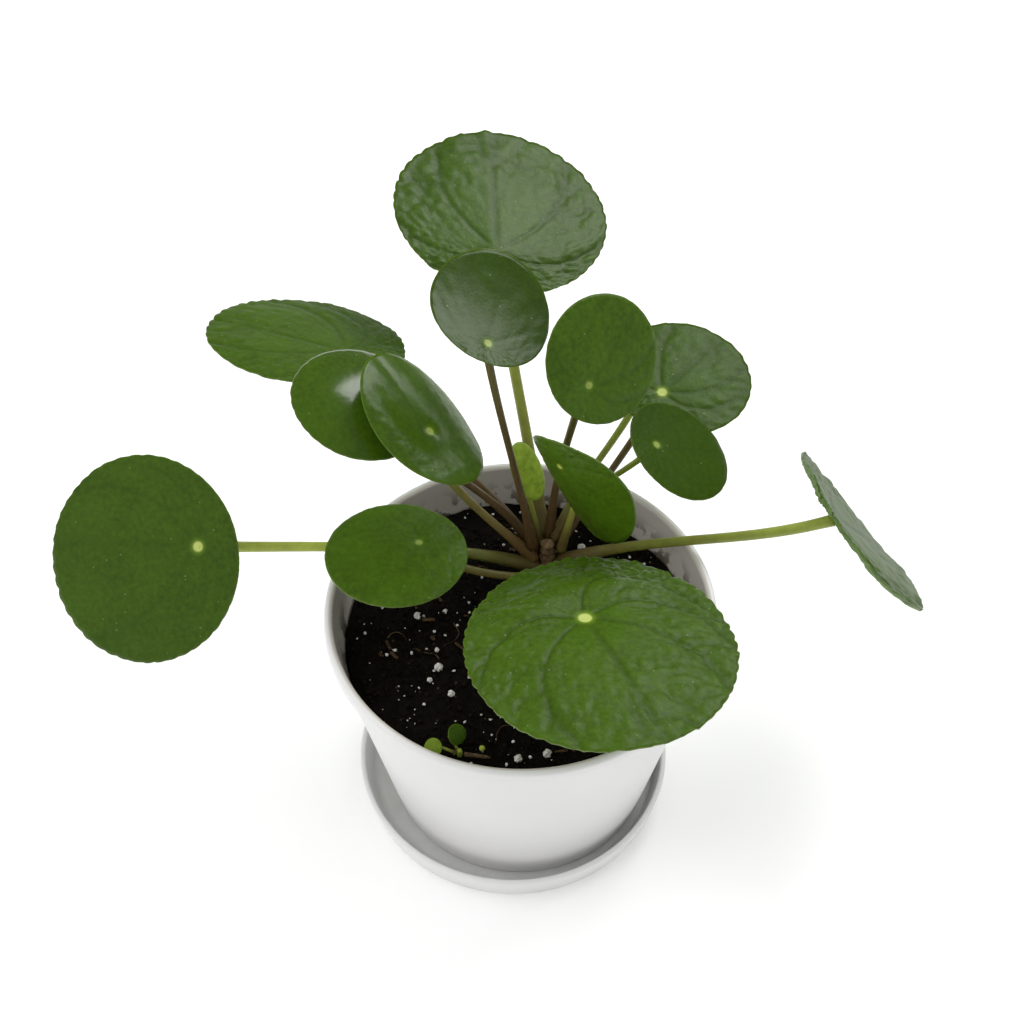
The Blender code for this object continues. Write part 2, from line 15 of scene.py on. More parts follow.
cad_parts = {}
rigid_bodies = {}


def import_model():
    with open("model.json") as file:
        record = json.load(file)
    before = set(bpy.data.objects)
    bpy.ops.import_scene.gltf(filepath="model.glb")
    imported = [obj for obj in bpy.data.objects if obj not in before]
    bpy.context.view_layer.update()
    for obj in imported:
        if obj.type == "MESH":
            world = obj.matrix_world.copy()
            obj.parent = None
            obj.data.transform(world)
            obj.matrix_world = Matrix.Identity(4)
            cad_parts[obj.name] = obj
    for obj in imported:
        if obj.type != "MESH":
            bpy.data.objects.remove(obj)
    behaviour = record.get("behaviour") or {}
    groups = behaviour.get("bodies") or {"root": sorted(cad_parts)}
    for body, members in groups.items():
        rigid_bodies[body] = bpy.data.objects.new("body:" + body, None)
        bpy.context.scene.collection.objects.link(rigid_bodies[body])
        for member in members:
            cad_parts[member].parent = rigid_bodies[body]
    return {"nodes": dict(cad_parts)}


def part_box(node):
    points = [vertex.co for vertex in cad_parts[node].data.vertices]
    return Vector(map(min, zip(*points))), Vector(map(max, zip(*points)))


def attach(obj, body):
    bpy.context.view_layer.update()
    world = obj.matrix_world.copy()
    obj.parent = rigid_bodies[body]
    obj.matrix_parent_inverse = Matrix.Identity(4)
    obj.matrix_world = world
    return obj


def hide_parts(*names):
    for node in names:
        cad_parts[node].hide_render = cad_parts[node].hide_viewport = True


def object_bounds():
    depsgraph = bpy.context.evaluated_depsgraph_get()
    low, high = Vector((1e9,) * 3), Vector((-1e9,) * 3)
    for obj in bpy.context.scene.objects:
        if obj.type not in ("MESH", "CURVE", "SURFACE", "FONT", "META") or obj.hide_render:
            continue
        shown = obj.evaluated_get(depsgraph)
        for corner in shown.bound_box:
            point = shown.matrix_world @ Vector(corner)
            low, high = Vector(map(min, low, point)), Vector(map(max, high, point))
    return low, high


# Vector noise takes its offsets from the clock unless it is given a seed.
noise.seed_set(11)
for old in list(bpy.data.objects):
    bpy.data.objects.remove(old)
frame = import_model()
cad_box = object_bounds()


# ---- Saucer --------------------------------------------------------------------------------
# A shallow dish moulded in the same white plastic as the pot, with a rounded rim. The pot
# stands in it a little off centre. Patches of greenish grey lie low on it, in the trough round the foot.
SAUCER_WALL = 0.0020
SAUCER_FLOOR = 0.0022
SAUCER_FLARE = 0.0022
SAUCER_CORNER = 0.0012
SAUCER_COVE = 0.0030
TURNED_STEPS = 192
WHITE = (0.73, 0.725, 0.72)
# Greenish grey laid in patches low down on the plastic.
LOW_TINT = (0.50, 0.51, 0.44)


def arc(centre, radius, start, end, steps):
    """Points of an arc in a profile's plane, angles in degrees."""
    turns = [math.radians(start + (end - start) * i / steps) for i in range(steps + 1)]
    return [(centre[0] + radius * math.cos(t), centre[1] + radius * math.sin(t)) for t in turns]


def spun(shape, profile, steps, weld=1e-6):
    """Spin a profile of (radius, height) points, whose ends lie on the axis, into a shell."""
    row = [shape.verts.new((radius, 0.0, height)) for radius, height in profile]
    line = [shape.edges.new(pair) for pair in zip(row, row[1:])]
    bmesh.ops.spin(shape, geom=row + line, axis=(0, 0, 1), cent=(0, 0, 0), angle=math.tau,
                   steps=steps, use_merge=True, use_duplicate=False)
    bmesh.ops.remove_doubles(shape, verts=shape.verts, dist=weld)


def turned(profile, steps=TURNED_STEPS):
    """A closed shell, with its faces outward, spun from a profile."""
    shape = bmesh.new()
    spun(shape, profile, steps)
    bmesh.ops.recalc_face_normals(shape, faces=shape.faces)
    return shape


def add_piece(name, shape, finishes, slot, node=None, sharp=None):
    """Make a bmesh a smooth-shaded piece on the root body, standing for its CAD node."""
    mesh = bpy.data.meshes.new(name)
    shape.to_mesh(mesh)
    shape.free()
    mesh.shade_smooth()
    if sharp is not None:
        mesh.set_sharp_from_angle(angle=math.radians(sharp))
    for finish in finishes:
        mesh.materials.append(finish)
    piece = bpy.data.objects.new(name, mesh)
    bpy.context.scene.collection.objects.link(piece)
    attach(piece, "root")
    if node is not None:
        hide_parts(node)
    return piece


def add_node(tree, kind, **values):
    """Add a shader node and set its sockets and settings by name."""
    node = tree.nodes.new(kind)
    for name, value in values.items():
        if hasattr(node, name):
            setattr(node, name, value)
        else:
            node.inputs[name.replace("_", " ")].default_value = value
    return node


def make_group(name, inputs, outputs):
    """Start a shader node group with typed sockets and return it with its two ends."""
    group = bpy.data.node_groups.new(name, "ShaderNodeTree")
    for label, kind in inputs:
        group.interface.new_socket(label, in_out="INPUT", socket_type="NodeSocket" + kind)
    for label, kind in outputs:
        group.interface.new_socket(label, in_out="OUTPUT", socket_type="NodeSocket" + kind)
    return group, group.nodes.new("NodeGroupInput"), group.nodes.new("NodeGroupOutput")


def make_mottle():
    """Two colours mixed by soft noise on the piece's own coordinates."""
    group, start, end = make_group(
        "mottle", [("Light", "Color"), ("Dark", "Color"), ("Scale", "Float"), ("Amount", "Float")],
        [("Color", "Color"), ("Mask", "Float")])
    link = group.links.new
    place = add_node(group, "ShaderNodeTexCoord")
    cloud = add_node(group, "ShaderNodeTexNoise", Detail=5.0, Roughness=0.6)
    spread = add_node(group, "ShaderNodeMapRange", From_Min=0.34, From_Max=0.66)
    share = add_node(group, "ShaderNodeMath", operation="MULTIPLY")
    mix = add_node(group, "ShaderNodeMix", data_type="RGBA")
    link(place.outputs["Object"], cloud.inputs["Vector"])
    link(start.outputs["Scale"], cloud.inputs["Scale"])
    link(cloud.outputs["Fac"], spread.inputs["Value"])
    link(spread.outputs["Result"], share.inputs[0])
    link(start.outputs["Amount"], share.inputs[1])
    link(share.outputs[0], mix.inputs["Factor"])
    link(start.outputs["Light"], mix.inputs["A"])
    link(start.outputs["Dark"], mix.inputs["B"])
    link(mix.outputs["Result"], end.inputs["Color"])
    link(share.outputs[0], end.inputs["Mask"])
    return group


def make_grain():
    """A fine bump of noise on the piece's own coordinates."""
    group, start, end = make_group(
        "grain", [("Scale", "Float"), ("Height", "Float")], [("Normal", "Vector")])
    link = group.links.new
    place = add_node(group, "ShaderNodeTexCoord")
    cloud = add_node(group, "ShaderNodeTexNoise", Detail=4.0, Roughness=0.55)
    bump = add_node(group, "ShaderNodeBump", Strength=1.0)
    link(place.outputs["Object"], cloud.inputs["Vector"])
    link(start.outputs["Scale"], cloud.inputs["Scale"])
    link(start.outputs["Height"], bump.inputs["Distance"])
    link(cloud.outputs["Fac"], bump.inputs["Height"])
    link(bump.outputs["Normal"], end.inputs["Normal"])
    return group


def make_specks():
    """A mask of scattered small dots on the piece's own coordinates."""
    group, start, end = make_group(
        "specks", [("Scale", "Float"), ("Size", "Float"), ("Share", "Float")], [("Mask", "Float")])
    link = group.links.new
    place = add_node(group, "ShaderNodeTexCoord")
    cells = add_node(group, "ShaderNodeTexVoronoi", feature="F1")
    dot = add_node(group, "ShaderNodeMath", operation="LESS_THAN")
    parts = add_node(group, "ShaderNodeSeparateColor")
    chosen = add_node(group, "ShaderNodeMath", operation="LESS_THAN")
    both = add_node(group, "ShaderNodeMath", operation="MULTIPLY")
    link(place.outputs["Object"], cells.inputs["Vector"])
    link(start.outputs["Scale"], cells.inputs["Scale"])
    link(cells.outputs["Distance"], dot.inputs[0])
    link(start.outputs["Size"], dot.inputs[1])
    link(cells.outputs["Color"], parts.inputs["Color"])
    link(parts.outputs["Red"], chosen.inputs[0])
    link(start.outputs["Share"], chosen.inputs[1])
    link(dot.outputs[0], both.inputs[0])
    link(chosen.outputs[0], both.inputs[1])
    link(both.outputs[0], end.inputs["Mask"])
    return group


MOTTLE = make_mottle()
GRAIN = make_grain()
SPECKS = make_specks()


def start_finish(name, roughness, **sockets):
    """A new material with its Principled shader set up; returns material, tree and shader."""
    finish = bpy.data.materials.new(name)
    finish.use_nodes = True
    shader = finish.node_tree.nodes["Principled BSDF"]
    shader.inputs["Roughness"].default_value = roughness
    for label, value in sockets.items():
        shader.inputs[label.replace("_", " ")].default_value = value
    return finish, finish.node_tree, shader


def use_group(tree, group, **values):
    """Place a node group in a material with its own values."""
    node = tree.nodes.new("ShaderNodeGroup")
    node.node_tree = group
    for label, value in values.items():
        node.inputs[label].default_value = value
    return node


def blend_colours(tree, mask, below, above):
    """Lay the colour above over the one below where the mask is 1; each is a socket or a value."""
    mix = add_node(tree, "ShaderNodeMix", data_type="RGBA")
    for socket, source in (("Factor", mask), ("A", below), ("B", above)):
        if isinstance(source, bpy.types.NodeSocket):
            tree.links.new(source, mix.inputs[socket])
        elif socket == "Factor":
            mix.inputs[socket].default_value = source
        else:
            mix.inputs[socket].default_value = (*source, 1.0)
    return mix.outputs["Result"]


def ramp_mask(tree, value, low, high):
    """A smooth mask that is 1 at or below low and 0 at or above high."""
    fade = add_node(tree, "ShaderNodeMapRange", interpolation_type="SMOOTHSTEP",
                    From_Min=low, From_Max=high, To_Min=1.0, To_Max=0.0)
    tree.links.new(value, fade.inputs["Value"])
    return fade.outputs["Result"]


def times(tree, first, second):
    """Multiply two masks, or a mask and a number."""
    product = add_node(tree, "ShaderNodeMath", operation="MULTIPLY")
    tree.links.new(first, product.inputs[0])
    if isinstance(second, bpy.types.NodeSocket):
        tree.links.new(second, product.inputs[1])
    else:
        product.inputs[1].default_value = second
    return product.outputs[0]


def object_part(tree, axis):
    """One of the piece's own coordinates."""
    place = add_node(tree, "ShaderNodeTexCoord")
    parts = add_node(tree, "ShaderNodeSeparateXYZ")
    tree.links.new(place.outputs["Object"], parts.inputs["Vector"])
    return parts.outputs[axis]


def white_plastic(name, tint_low, tint_high, tint_amount):
    """Moulded white plastic, faintly clouded, tinted greenish grey in patches between two heights."""
    finish, tree, shader = start_finish(name, 0.34)
    cloud = use_group(tree, MOTTLE, Light=(*WHITE, 1), Dark=(0.68, 0.68, 0.67, 1), Scale=22.0,
                      Amount=0.5)
    tint_cloud = use_group(tree, MOTTLE, Light=(0, 0, 0, 1), Dark=(1, 1, 1, 1), Scale=140.0,
                       Amount=tint_amount)
    low = ramp_mask(tree, object_part(tree, "Z"), tint_low, tint_high)
    # Patches of greenish grey below a given height.
    tint_mask = times(tree, low, tint_cloud.outputs["Mask"])
    colour = blend_colours(tree, tint_mask, cloud.outputs["Color"], LOW_TINT)
    specks = use_group(tree, SPECKS, Scale=170.0, Size=0.055, Share=0.05)
    colour = blend_colours(tree, specks.outputs["Mask"], colour, (0.20, 0.17, 0.13))
    tree.links.new(colour, shader.inputs["Base Color"])
    grain = use_group(tree, GRAIN, Scale=260.0, Height=0.00004)
    tree.links.new(grain.outputs["Normal"], shader.inputs["Normal"])
    return finish


def build_saucer():
    low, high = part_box("saucer")
    rim = (high.x - low.x) / 2
    foot = rim - SAUCER_FLARE
    lip = SAUCER_WALL / 2
    inner = foot - SAUCER_WALL
    profile = [(0.0, low.z), (foot - SAUCER_CORNER * 3, low.z)]
    profile += arc((foot - SAUCER_CORNER, low.z + SAUCER_CORNER), SAUCER_CORNER, -90, -8, 6)
    profile += arc((rim - lip, high.z - lip), lip, 0, 180, 12)
    profile += arc((inner - SAUCER_COVE, low.z + SAUCER_FLOOR + SAUCER_COVE), SAUCER_COVE, 0, -90, 8)
    profile += [(0.0, low.z + SAUCER_FLOOR)]
    finish = white_plastic("saucer_plastic", tint_low=0.0026, tint_high=0.0060, tint_amount=0.30)
    shape = turned(profile)
    bmesh.ops.translate(shape, verts=shape.verts, vec=((low.x + high.x) / 2, 0.0, 0.0))
    add_piece("saucer_shell", shape, [finish], "saucer_plastic", "saucer", sharp=40)


build_saucer()


# ---- Pot -----------------------------------------------------------------------------------
# A thin tapered pot moulded in glossy white plastic, with a soft rolled lip, a foot ring and
# round drain holes in its floor. The inside of the wall is darkened all over as painted shade,
# and soil has marked it above the soil line.
POT_WALL = 0.0019
POT_LIP_HEIGHT = 0.0048
POT_LIP_WIDTH = 0.0030
POT_LIP_ROUND = 0.0014
POT_FOOT_RADIUS = 0.0455
POT_RECESS = 0.0020
POT_FLOOR = 0.0022
POT_FOOT_RING = 0.0050
POT_CORNER = 0.0015
POT_BAND = 0.0040
DRAIN_RADIUS = 0.0040
DRAIN_CIRCLE = 0.0240
DRAIN_COUNT = 6
# The wall widens by WALL_SLOPE per metre of height. A place whose radius, brought down to
# height 0 along that slope, is under WALL_INNER is on the inside, and over WALL_OUTER outside.
WALL_SLOPE = 0.198
WALL_INNER = 0.04365
WALL_OUTER = 0.04415
DIRT_FULL = 0.0150
DIRT_END = 0.0035


def build_pot():
    low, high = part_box("pot")
    rim = high.x
    tall = high.z - low.z
    wall_top = rim - POT_LIP_WIDTH + POT_WALL

    def outer(height):
        return POT_FOOT_RADIUS + (wall_top - POT_FOOT_RADIUS) * height / tall

    under_lip = tall - POT_LIP_HEIGHT
    floor_top = POT_RECESS + POT_FLOOR
    recess = POT_FOOT_RADIUS - POT_FOOT_RING
    corner = POT_CORNER
    mouth = outer(tall) - POT_WALL
    profile = [(0.0, POT_RECESS), (recess, POT_RECESS), (recess + corner, 0.0)]
    profile += arc((outer(corner) - corner, corner), corner, -90, -10, 6)
    band_foot = under_lip - POT_BAND
    profile += [(outer(band_foot), band_foot), (outer(under_lip), under_lip)]
    profile += arc((rim - POT_LIP_ROUND, under_lip + POT_LIP_ROUND), POT_LIP_ROUND, -70, 0, 5)
    profile += arc((rim - POT_LIP_ROUND, tall - POT_LIP_ROUND), POT_LIP_ROUND, 0, 90, 8)
    profile += arc((mouth + POT_LIP_ROUND, tall - POT_LIP_ROUND), POT_LIP_ROUND, 90, 180, 8)
    inner_foot = outer(floor_top) - POT_WALL
    profile += arc((inner_foot - corner, floor_top + corner), corner, 0, -90, 5)
    profile += [(0.0, floor_top)]
    shape = turned([(radius, low.z + height) for radius, height in profile])
    holes = bmesh.new()
    for index in range(DRAIN_COUNT):
        turn = math.tau * index / DRAIN_COUNT
        place = Matrix.Translation((DRAIN_CIRCLE * math.cos(turn), DRAIN_CIRCLE * math.sin(turn),
                                    low.z + floor_top / 2))
        bmesh.ops.create_cone(holes, cap_ends=True, segments=32, radius1=DRAIN_RADIUS,
                              radius2=DRAIN_RADIUS, depth=floor_top * 2, matrix=place)
    drill_mesh = bpy.data.meshes.new("drain_drill")
    holes.to_mesh(drill_mesh)
    holes.free()
    drill = bpy.data.objects.new("drain_drill", drill_mesh)
    bpy.context.scene.collection.objects.link(drill)
    finish = white_plastic("pot_plastic", tint_low=0.0790, tint_high=0.0900, tint_amount=0.0)
    finish = inner_dirt_and_shade(finish, high.z)
    pot = add_piece("pot_shell", shape, [finish], "pot_plastic", "pot", sharp=40)
    step = pot.modifiers.new("drain", "BOOLEAN")
    step.operation = "DIFFERENCE"
    step.solver = "EXACT"
    step.object = drill
    graph = bpy.context.evaluated_depsgraph_get()
    cut = bpy.data.meshes.new_from_object(pot.evaluated_get(graph))
    pot.modifiers.clear()
    pot.data = cut
    bpy.data.objects.remove(drill)


def inner_dirt_and_shade(finish, rim_height):
    """Painted shade over the whole inside of the pot's wall, a grey beige, and soil marks on it fading
    out towards its rim.
    """
    tree = finish.node_tree
    shader = tree.nodes["Principled BSDF"]
    clean = shader.inputs["Base Color"].links[0].from_socket
    x = object_part(tree, "X")
    y = object_part(tree, "Y")
    z = object_part(tree, "Z")
    flat = add_node(tree, "ShaderNodeCombineXYZ")
    tree.links.new(x, flat.inputs["X"])
    tree.links.new(y, flat.inputs["Y"])
    reach = add_node(tree, "ShaderNodeVectorMath", operation="LENGTH")
    tree.links.new(flat.outputs["Vector"], reach.inputs[0])
    level = add_node(tree, "ShaderNodeMath", operation="MULTIPLY_ADD")
    tree.links.new(z, level.inputs[0])
    level.inputs[1].default_value = -WALL_SLOPE
    tree.links.new(reach.outputs["Value"], level.inputs[2])
    inside = ramp_mask(tree, level.outputs[0], WALL_INNER, WALL_OUTER)
    near_soil = ramp_mask(tree, z, rim_height - DIRT_FULL, rim_height - DIRT_END)
    patches = use_group(tree, MOTTLE, Light=(0, 0, 0, 1), Dark=(1, 1, 1, 1), Scale=120.0, Amount=1.0)
    smears = ramp_mask(tree, patches.outputs["Mask"], 0.36, 0.52)
    tint_mask = times(tree, times(tree, inside, near_soil), times(tree, smears, 0.9))
    # Painted shade: the whole inside of the wall is darkened to a grey beige.
    inner_shade_colour = blend_colours(tree, times(tree, inside, 0.75), clean, (0.56, 0.51, 0.45))
    colour = blend_colours(tree, tint_mask, inner_shade_colour, (0.12, 0.095, 0.065))
    tree.links.new(colour, shader.inputs["Base Color"])
    return finish


build_pot()


# ---- Soil ----------------------------------------------------------------------------------
# Dark peaty potting mix, pressed into the pot and rough on top, with loose crumbs, bits of
# bark and dry rootlets lying on it. It is damp, so it is nearly black with a few brown flecks.
SOIL_SECTORS = 200
SOIL_RINGS = 80
SOIL_ROUGHNESS = 0.0013
CRUMB_COUNT = 1500
FLECK_COUNT = 240
BARK_COUNT = 26
ROOTLET_COUNT = 16
SOIL_SETTLE = 0.0008
SOIL_PEAK = 0.0010
SOIL_TAPER = 0.0135
BROAD_SIZE = 0.0140
LUMP_SIZE = 0.0042
CLOD_SIZE = 0.0034
GRIT_SIZE = 0.0013
LITTER_MARGIN = 0.0015
BARK_LIFT = 0.0006
BARK_THICKNESS = 0.0005
ROOTLET_MARGIN = 0.0080
ROOTLET_START = 0.0003
ROOTLET_LIFT = 0.00035
ROOTLET_STEP = 0.0009


def soil_finish(name, light, dark, roughness=0.93):
    finish, tree, shader = start_finish(name, roughness, Specular_IOR_Level=0.2)
    cloud = use_group(tree, MOTTLE, Light=(*light, 1), Dark=(*dark, 1), Scale=420.0, Amount=1.0)
    specks = use_group(tree, SPECKS, Scale=520.0, Size=0.22, Share=0.07)
    colour = blend_colours(tree, times(tree, specks.outputs["Mask"], 0.5), cloud.outputs["Color"],
                           (0.090, 0.055, 0.026))
    tree.links.new(colour, shader.inputs["Base Color"])
    grain = use_group(tree, GRAIN, Scale=1400.0, Height=0.00035)
    tree.links.new(grain.outputs["Normal"], shader.inputs["Normal"])
    return finish


SOIL_LOW, SOIL_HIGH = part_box("soil")
SOIL_LEVEL = SOIL_HIGH.z - SOIL_SETTLE


def soil_relief(x, y):
    """Height of the soil's crumbly top at a place."""
    place = Vector((x, y, 0.0))
    broad = noise.noise(place / BROAD_SIZE + Vector((0, 0, 3.1)))
    lumps = noise.noise(place / LUMP_SIZE + Vector((5.0, 0, 0)))
    clods = 0.5 - noise.voronoi(place / CLOD_SIZE)[0][0]
    crumbs = noise.noise(place / GRIT_SIZE + Vector((0, 9.0, 0)))
    return SOIL_LEVEL + SOIL_ROUGHNESS * (0.55 * broad + 0.5 * lumps + 0.55 * clods + 0.32 * crumbs)


def build_soil():
    edge = SOIL_HIGH.x
    foot = edge - SOIL_TAPER
    profile = [(0.0, SOIL_LOW.z), (foot, SOIL_LOW.z + 0.001)]
    profile += [(edge * (1 - index / SOIL_RINGS), SOIL_LEVEL) for index in range(SOIL_RINGS + 1)]
    shape = turned(profile, SOIL_SECTORS)
    for vert in shape.verts:
        if vert.co.z > SOIL_LEVEL - 0.0001:
            vert.co.z = min(soil_relief(vert.co.x, vert.co.y), SOIL_HIGH.z + SOIL_PEAK)
    finish = soil_finish("potting_soil", (0.0070, 0.0045, 0.0026), (0.0018, 0.0014, 0.0010))
    add_piece("soil_bed", shape, [finish], "potting_soil", "soil")


def scatter(rng, count, reach):
    """Random places on the soil, even over its area."""
    for _ in range(count):
        turn = rng.uniform(0, math.tau)
        away = reach * math.sqrt(rng.random())
        yield away * math.cos(turn), away * math.sin(turn)


def scattered_bits(rng, count, reach, sizes, lift):
    """Small squashed lumps on the soil, each lifted by a share of its size."""
    bits = bmesh.new()
    for x, y in scatter(rng, count, reach):
        size = rng.choice(sizes)
        turn = Matrix.Rotation(rng.uniform(0, 6), 4, (rng.random(), rng.random(), 1))
        place = Matrix.Translation((x, y, soil_relief(x, y) + size * lift))
        form = Matrix.Diagonal((1.0, rng.uniform(0.6, 1.0), rng.uniform(0.5, 0.9), 1.0))
        bmesh.ops.create_icosphere(bits, subdivisions=1, radius=size, matrix=place @ turn @ form)
    return bits


def build_litter():
    """Crumbs, bark bits, rootlets and small perlite flecks lying on the soil."""
    rng = random.Random(7)
    reach = SOIL_HIGH.x - LITTER_MARGIN
    crumbs = scattered_bits(rng, CRUMB_COUNT, reach, (0.0004, 0.0005, 0.0007, 0.0010), 0.3)
    finish = soil_finish("soil_crumbs", (0.0140, 0.0085, 0.0045), (0.0030, 0.0020, 0.0014))
    add_piece("soil_crumbs", crumbs, [finish], "potting_soil")
    flecks = scattered_bits(rng, FLECK_COUNT, reach, (0.0002, 0.0003, 0.0003, 0.0005, 0.0007), 0.7)
    for vert in flecks.verts:
        vert.co += noise.noise_vector(vert.co / 0.0004) * 0.00018
    add_piece("perlite_flecks", flecks, [perlite_finish()], "perlite")
    bark = bmesh.new()
    for x, y in scatter(rng, BARK_COUNT, reach):
        turn = Matrix.Rotation(rng.uniform(0, 6), 4, "Z")
        turn @= Matrix.Rotation(rng.uniform(-0.4, 0.4), 4, "X")
        place = Matrix.Translation((x, y, soil_relief(x, y) + BARK_LIFT))
        long = rng.uniform(0.0016, 0.0045)
        wide = rng.uniform(0.0005, 0.0012)
        size = Matrix.Diagonal((long, wide, BARK_THICKNESS, 1.0))
        bmesh.ops.create_cube(bark, size=1.0, matrix=place @ turn @ size)
    bmesh.ops.subdivide_edges(bark, edges=bark.edges, cuts=2, use_grid_fill=True)
    for vert in bark.verts:
        vert.co += noise.noise_vector(vert.co / 0.0016) * 0.00022
    finish = soil_finish("bark_bits", (0.115, 0.068, 0.030), (0.030, 0.018, 0.009))
    add_piece("bark_bits", bark, [finish], "potting_soil")
    roots = bmesh.new()
    for x, y in scatter(rng, ROOTLET_COUNT, reach - ROOTLET_MARGIN):
        heading = rng.uniform(0, math.tau)
        width = rng.uniform(0.00012, 0.00026)
        here = Vector((x, y, soil_relief(x, y) + ROOTLET_START))
        place = Matrix.Translation(here) @ Matrix.Rotation(heading, 4, "Z")
        place @= Matrix.Rotation(math.pi / 2, 4, "Y")
        ring = bmesh.ops.create_circle(roots, segments=5, radius=width, cap_ends=True, matrix=place)
        face = ring["verts"][0].link_faces[0]
        for _ in range(rng.randint(6, 14)):
            heading += rng.uniform(-0.5, 0.5)
            step = Vector((math.cos(heading), math.sin(heading), 0.0)) * ROOTLET_STEP
            there = here + step
            there.z = soil_relief(there.x, there.y) + ROOTLET_LIFT
            made = bmesh.ops.extrude_discrete_faces(roots, faces=[face])
            face = made["faces"][0]
            bmesh.ops.translate(roots, verts=face.verts, vec=there - here)
            here = there
    bmesh.ops.recalc_face_normals(roots, faces=roots.faces)
    finish = soil_finish("rootlets", (0.130, 0.085, 0.045), (0.055, 0.034, 0.016), 0.8)
    add_piece("rootlets", roots, [finish], "potting_soil")


# ---- Perlite -------------------------------------------------------------------------------
# Grains of expanded volcanic glass mixed into the soil: white, chalky and full of small
# pits. The larger ones lie loose on top, pressed a little way in.
PERLITE_DEPTH = 1.25


def perlite_finish():
    finish, tree, shader = start_finish("perlite", 0.88)
    cloud = use_group(tree, MOTTLE, Light=(0.84, 0.83, 0.80, 1), Dark=(0.50, 0.47, 0.42, 1),
                      Scale=900.0, Amount=0.75)
    tree.links.new(cloud.outputs["Color"], shader.inputs["Base Color"])
    grain = use_group(tree, GRAIN, Scale=2600.0, Height=0.0003)
    tree.links.new(grain.outputs["Normal"], shader.inputs["Normal"])
    return finish


def build_perlite():
    finish = perlite_finish()
    names = sorted(name for name in frame["nodes"] if name.startswith("perlite_"))
    for index, name in enumerate(names):
        low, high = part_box(name)
        middle = (low + high) / 2
        half = (high - low) / 2
        grain = bmesh.new()
        bmesh.ops.create_icosphere(grain, subdivisions=4, radius=1.0)
        for vert in grain.verts:
            seed = Vector((index * 3.7, 0.0, 0.0))
            lump = 0.75 * noise.noise(vert.co * 1.5 + seed)
            knob = 0.50 * (0.5 - noise.voronoi(vert.co * 1.6 + seed)[0][0])
            pit = 0.22 * noise.noise(vert.co * 4.5 + seed)
            vert.co *= max(0.42, min(1.0, 0.84 + lump + knob + pit))
        stretch = Matrix.Diagonal((half.x, half.y, half.z * PERLITE_DEPTH, 1.0))
        bmesh.ops.transform(grain, verts=grain.verts, matrix=Matrix.Translation(middle) @ stretch)
        add_piece(name + "_grain", grain, [finish], "perlite", name)


build_soil()
build_litter()
build_perlite()


# ---- Main stem -----------------------------------------------------------------------------
# The plant's short woody stem. It is brown and corky, ringed by the pale scars of leaves
# that have dropped, and the stalks of the living leaves spring from its upper part.
STEM_SECTORS = 64
STEM_LEVELS = 90
SCAR_PITCH = 0.0036
SCAR_HEIGHT = 0.0022
CORK_SIZE = 0.0008
STEM_SLIM = 0.93
STEM_TAPER = 0.20
STEM_SWELL = 1.07


def bark_finish(name, light, dark):
    finish, tree, shader = start_finish(name, 0.72)
    cloud = use_group(tree, MOTTLE, Light=(*light, 1), Dark=(*dark, 1), Scale=430.0, Amount=1.0)
    specks = use_group(tree, SPECKS, Scale=900.0, Size=0.25, Share=0.16)
    colour = blend_colours(tree, times(tree, specks.outputs["Mask"], 0.7), cloud.outputs["Color"],
                           (0.30, 0.23, 0.13))
    tree.links.new(colour, shader.inputs["Base Color"])
    grain = use_group(tree, GRAIN, Scale=1500.0, Height=0.0003)
    tree.links.new(grain.outputs["Normal"], shader.inputs["Normal"])
    return finish


def build_stem():
    low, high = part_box("main_stem")
    middle = (low + high) / 2
    radius = (high.x - low.x) / 2 * STEM_SLIM
    profile = [(radius, low.z + (high.z - low.z) * level / STEM_LEVELS)
               for level in range(STEM_LEVELS + 1)]
    shape = turned([(0.0, low.z), *profile, (0.0, high.z)], STEM_SECTORS)
    for vert in shape.verts:
        above = vert.co.z - SOIL_LEVEL
        turn = math.atan2(vert.co.y, vert.co.x)
        ring = 0.07 * math.sin(math.tau * above / SCAR_PITCH + 1.6 * math.sin(turn))
        side = Vector((math.cos(turn) * 1.6, math.sin(turn) * 1.6, above / SCAR_HEIGHT))
        scar = 0.10 * noise.noise(side)
        rough = 0.07 * noise.noise(vert.co / CORK_SIZE)
        taper = 1.0 - STEM_TAPER * max(0.0, above) / (high.z - SOIL_LEVEL)
        swell = min(taper * (1.0 + ring + scar + rough), STEM_SWELL)
        vert.co.x = middle.x + vert.co.x * swell
        vert.co.y = middle.y + vert.co.y * swell
    finish = bark_finish("stem_bark", (0.190, 0.115, 0.045), (0.070, 0.040, 0.016))
    add_piece("stem_trunk", shape, [finish], "stem_bark", "main_stem")


build_stem()


# ---- Leaf blades ---------------------------------------------------------------------------
# Round fleshy blades, each held near its middle by its stalk, with a pale yellow-green spot
# over the join. Veins run from the spot as fine furrows, the tissue swells between them, and
# the margin of the larger blades is cut into shallow scallops.
BLADE_RINGS = 5
BLADE_SECTORS = 20
FINE_STEP = 0.0009
LEAF_THICKNESS = 0.0008
SCALLOP_PITCH = 0.0050
MAIN_VEIN_WIDTH = 0.0008
SIDE_VEIN_WIDTH = 0.0006
PILLOW_WIDTH = 0.0030
CRINKLE_CELL = 0.0037
CREASE_REACH = 0.0140
SHOULDER_REACH = 0.0090
WAVE_CELL = 0.0120
WARP_CELL = 0.0060
GRAIN_CELL = 0.0019
WAVE_DEPTH = 0.0002
FULL_WRINKLE = 0.0004
FURROW_LIMIT = 0.0005
SPOT_RADIUS = 0.0016
HALO_RADIUS = 0.0034
DIMPLE_DEPTH = 0.0004
DIMPLE_RADIUS = 0.0022
SMALL_BLADE = 0.0080

LEAF_MID = (0.050, 0.107, 0.0030)
LEAF_DEEP = (0.026, 0.056, 0.0020)
LEAF_PALE = (0.19, 0.28, 0.020)
LEAF_SPOT = (0.46, 0.54, 0.15)
LEAF_UNDER = (0.110, 0.205, 0.050)

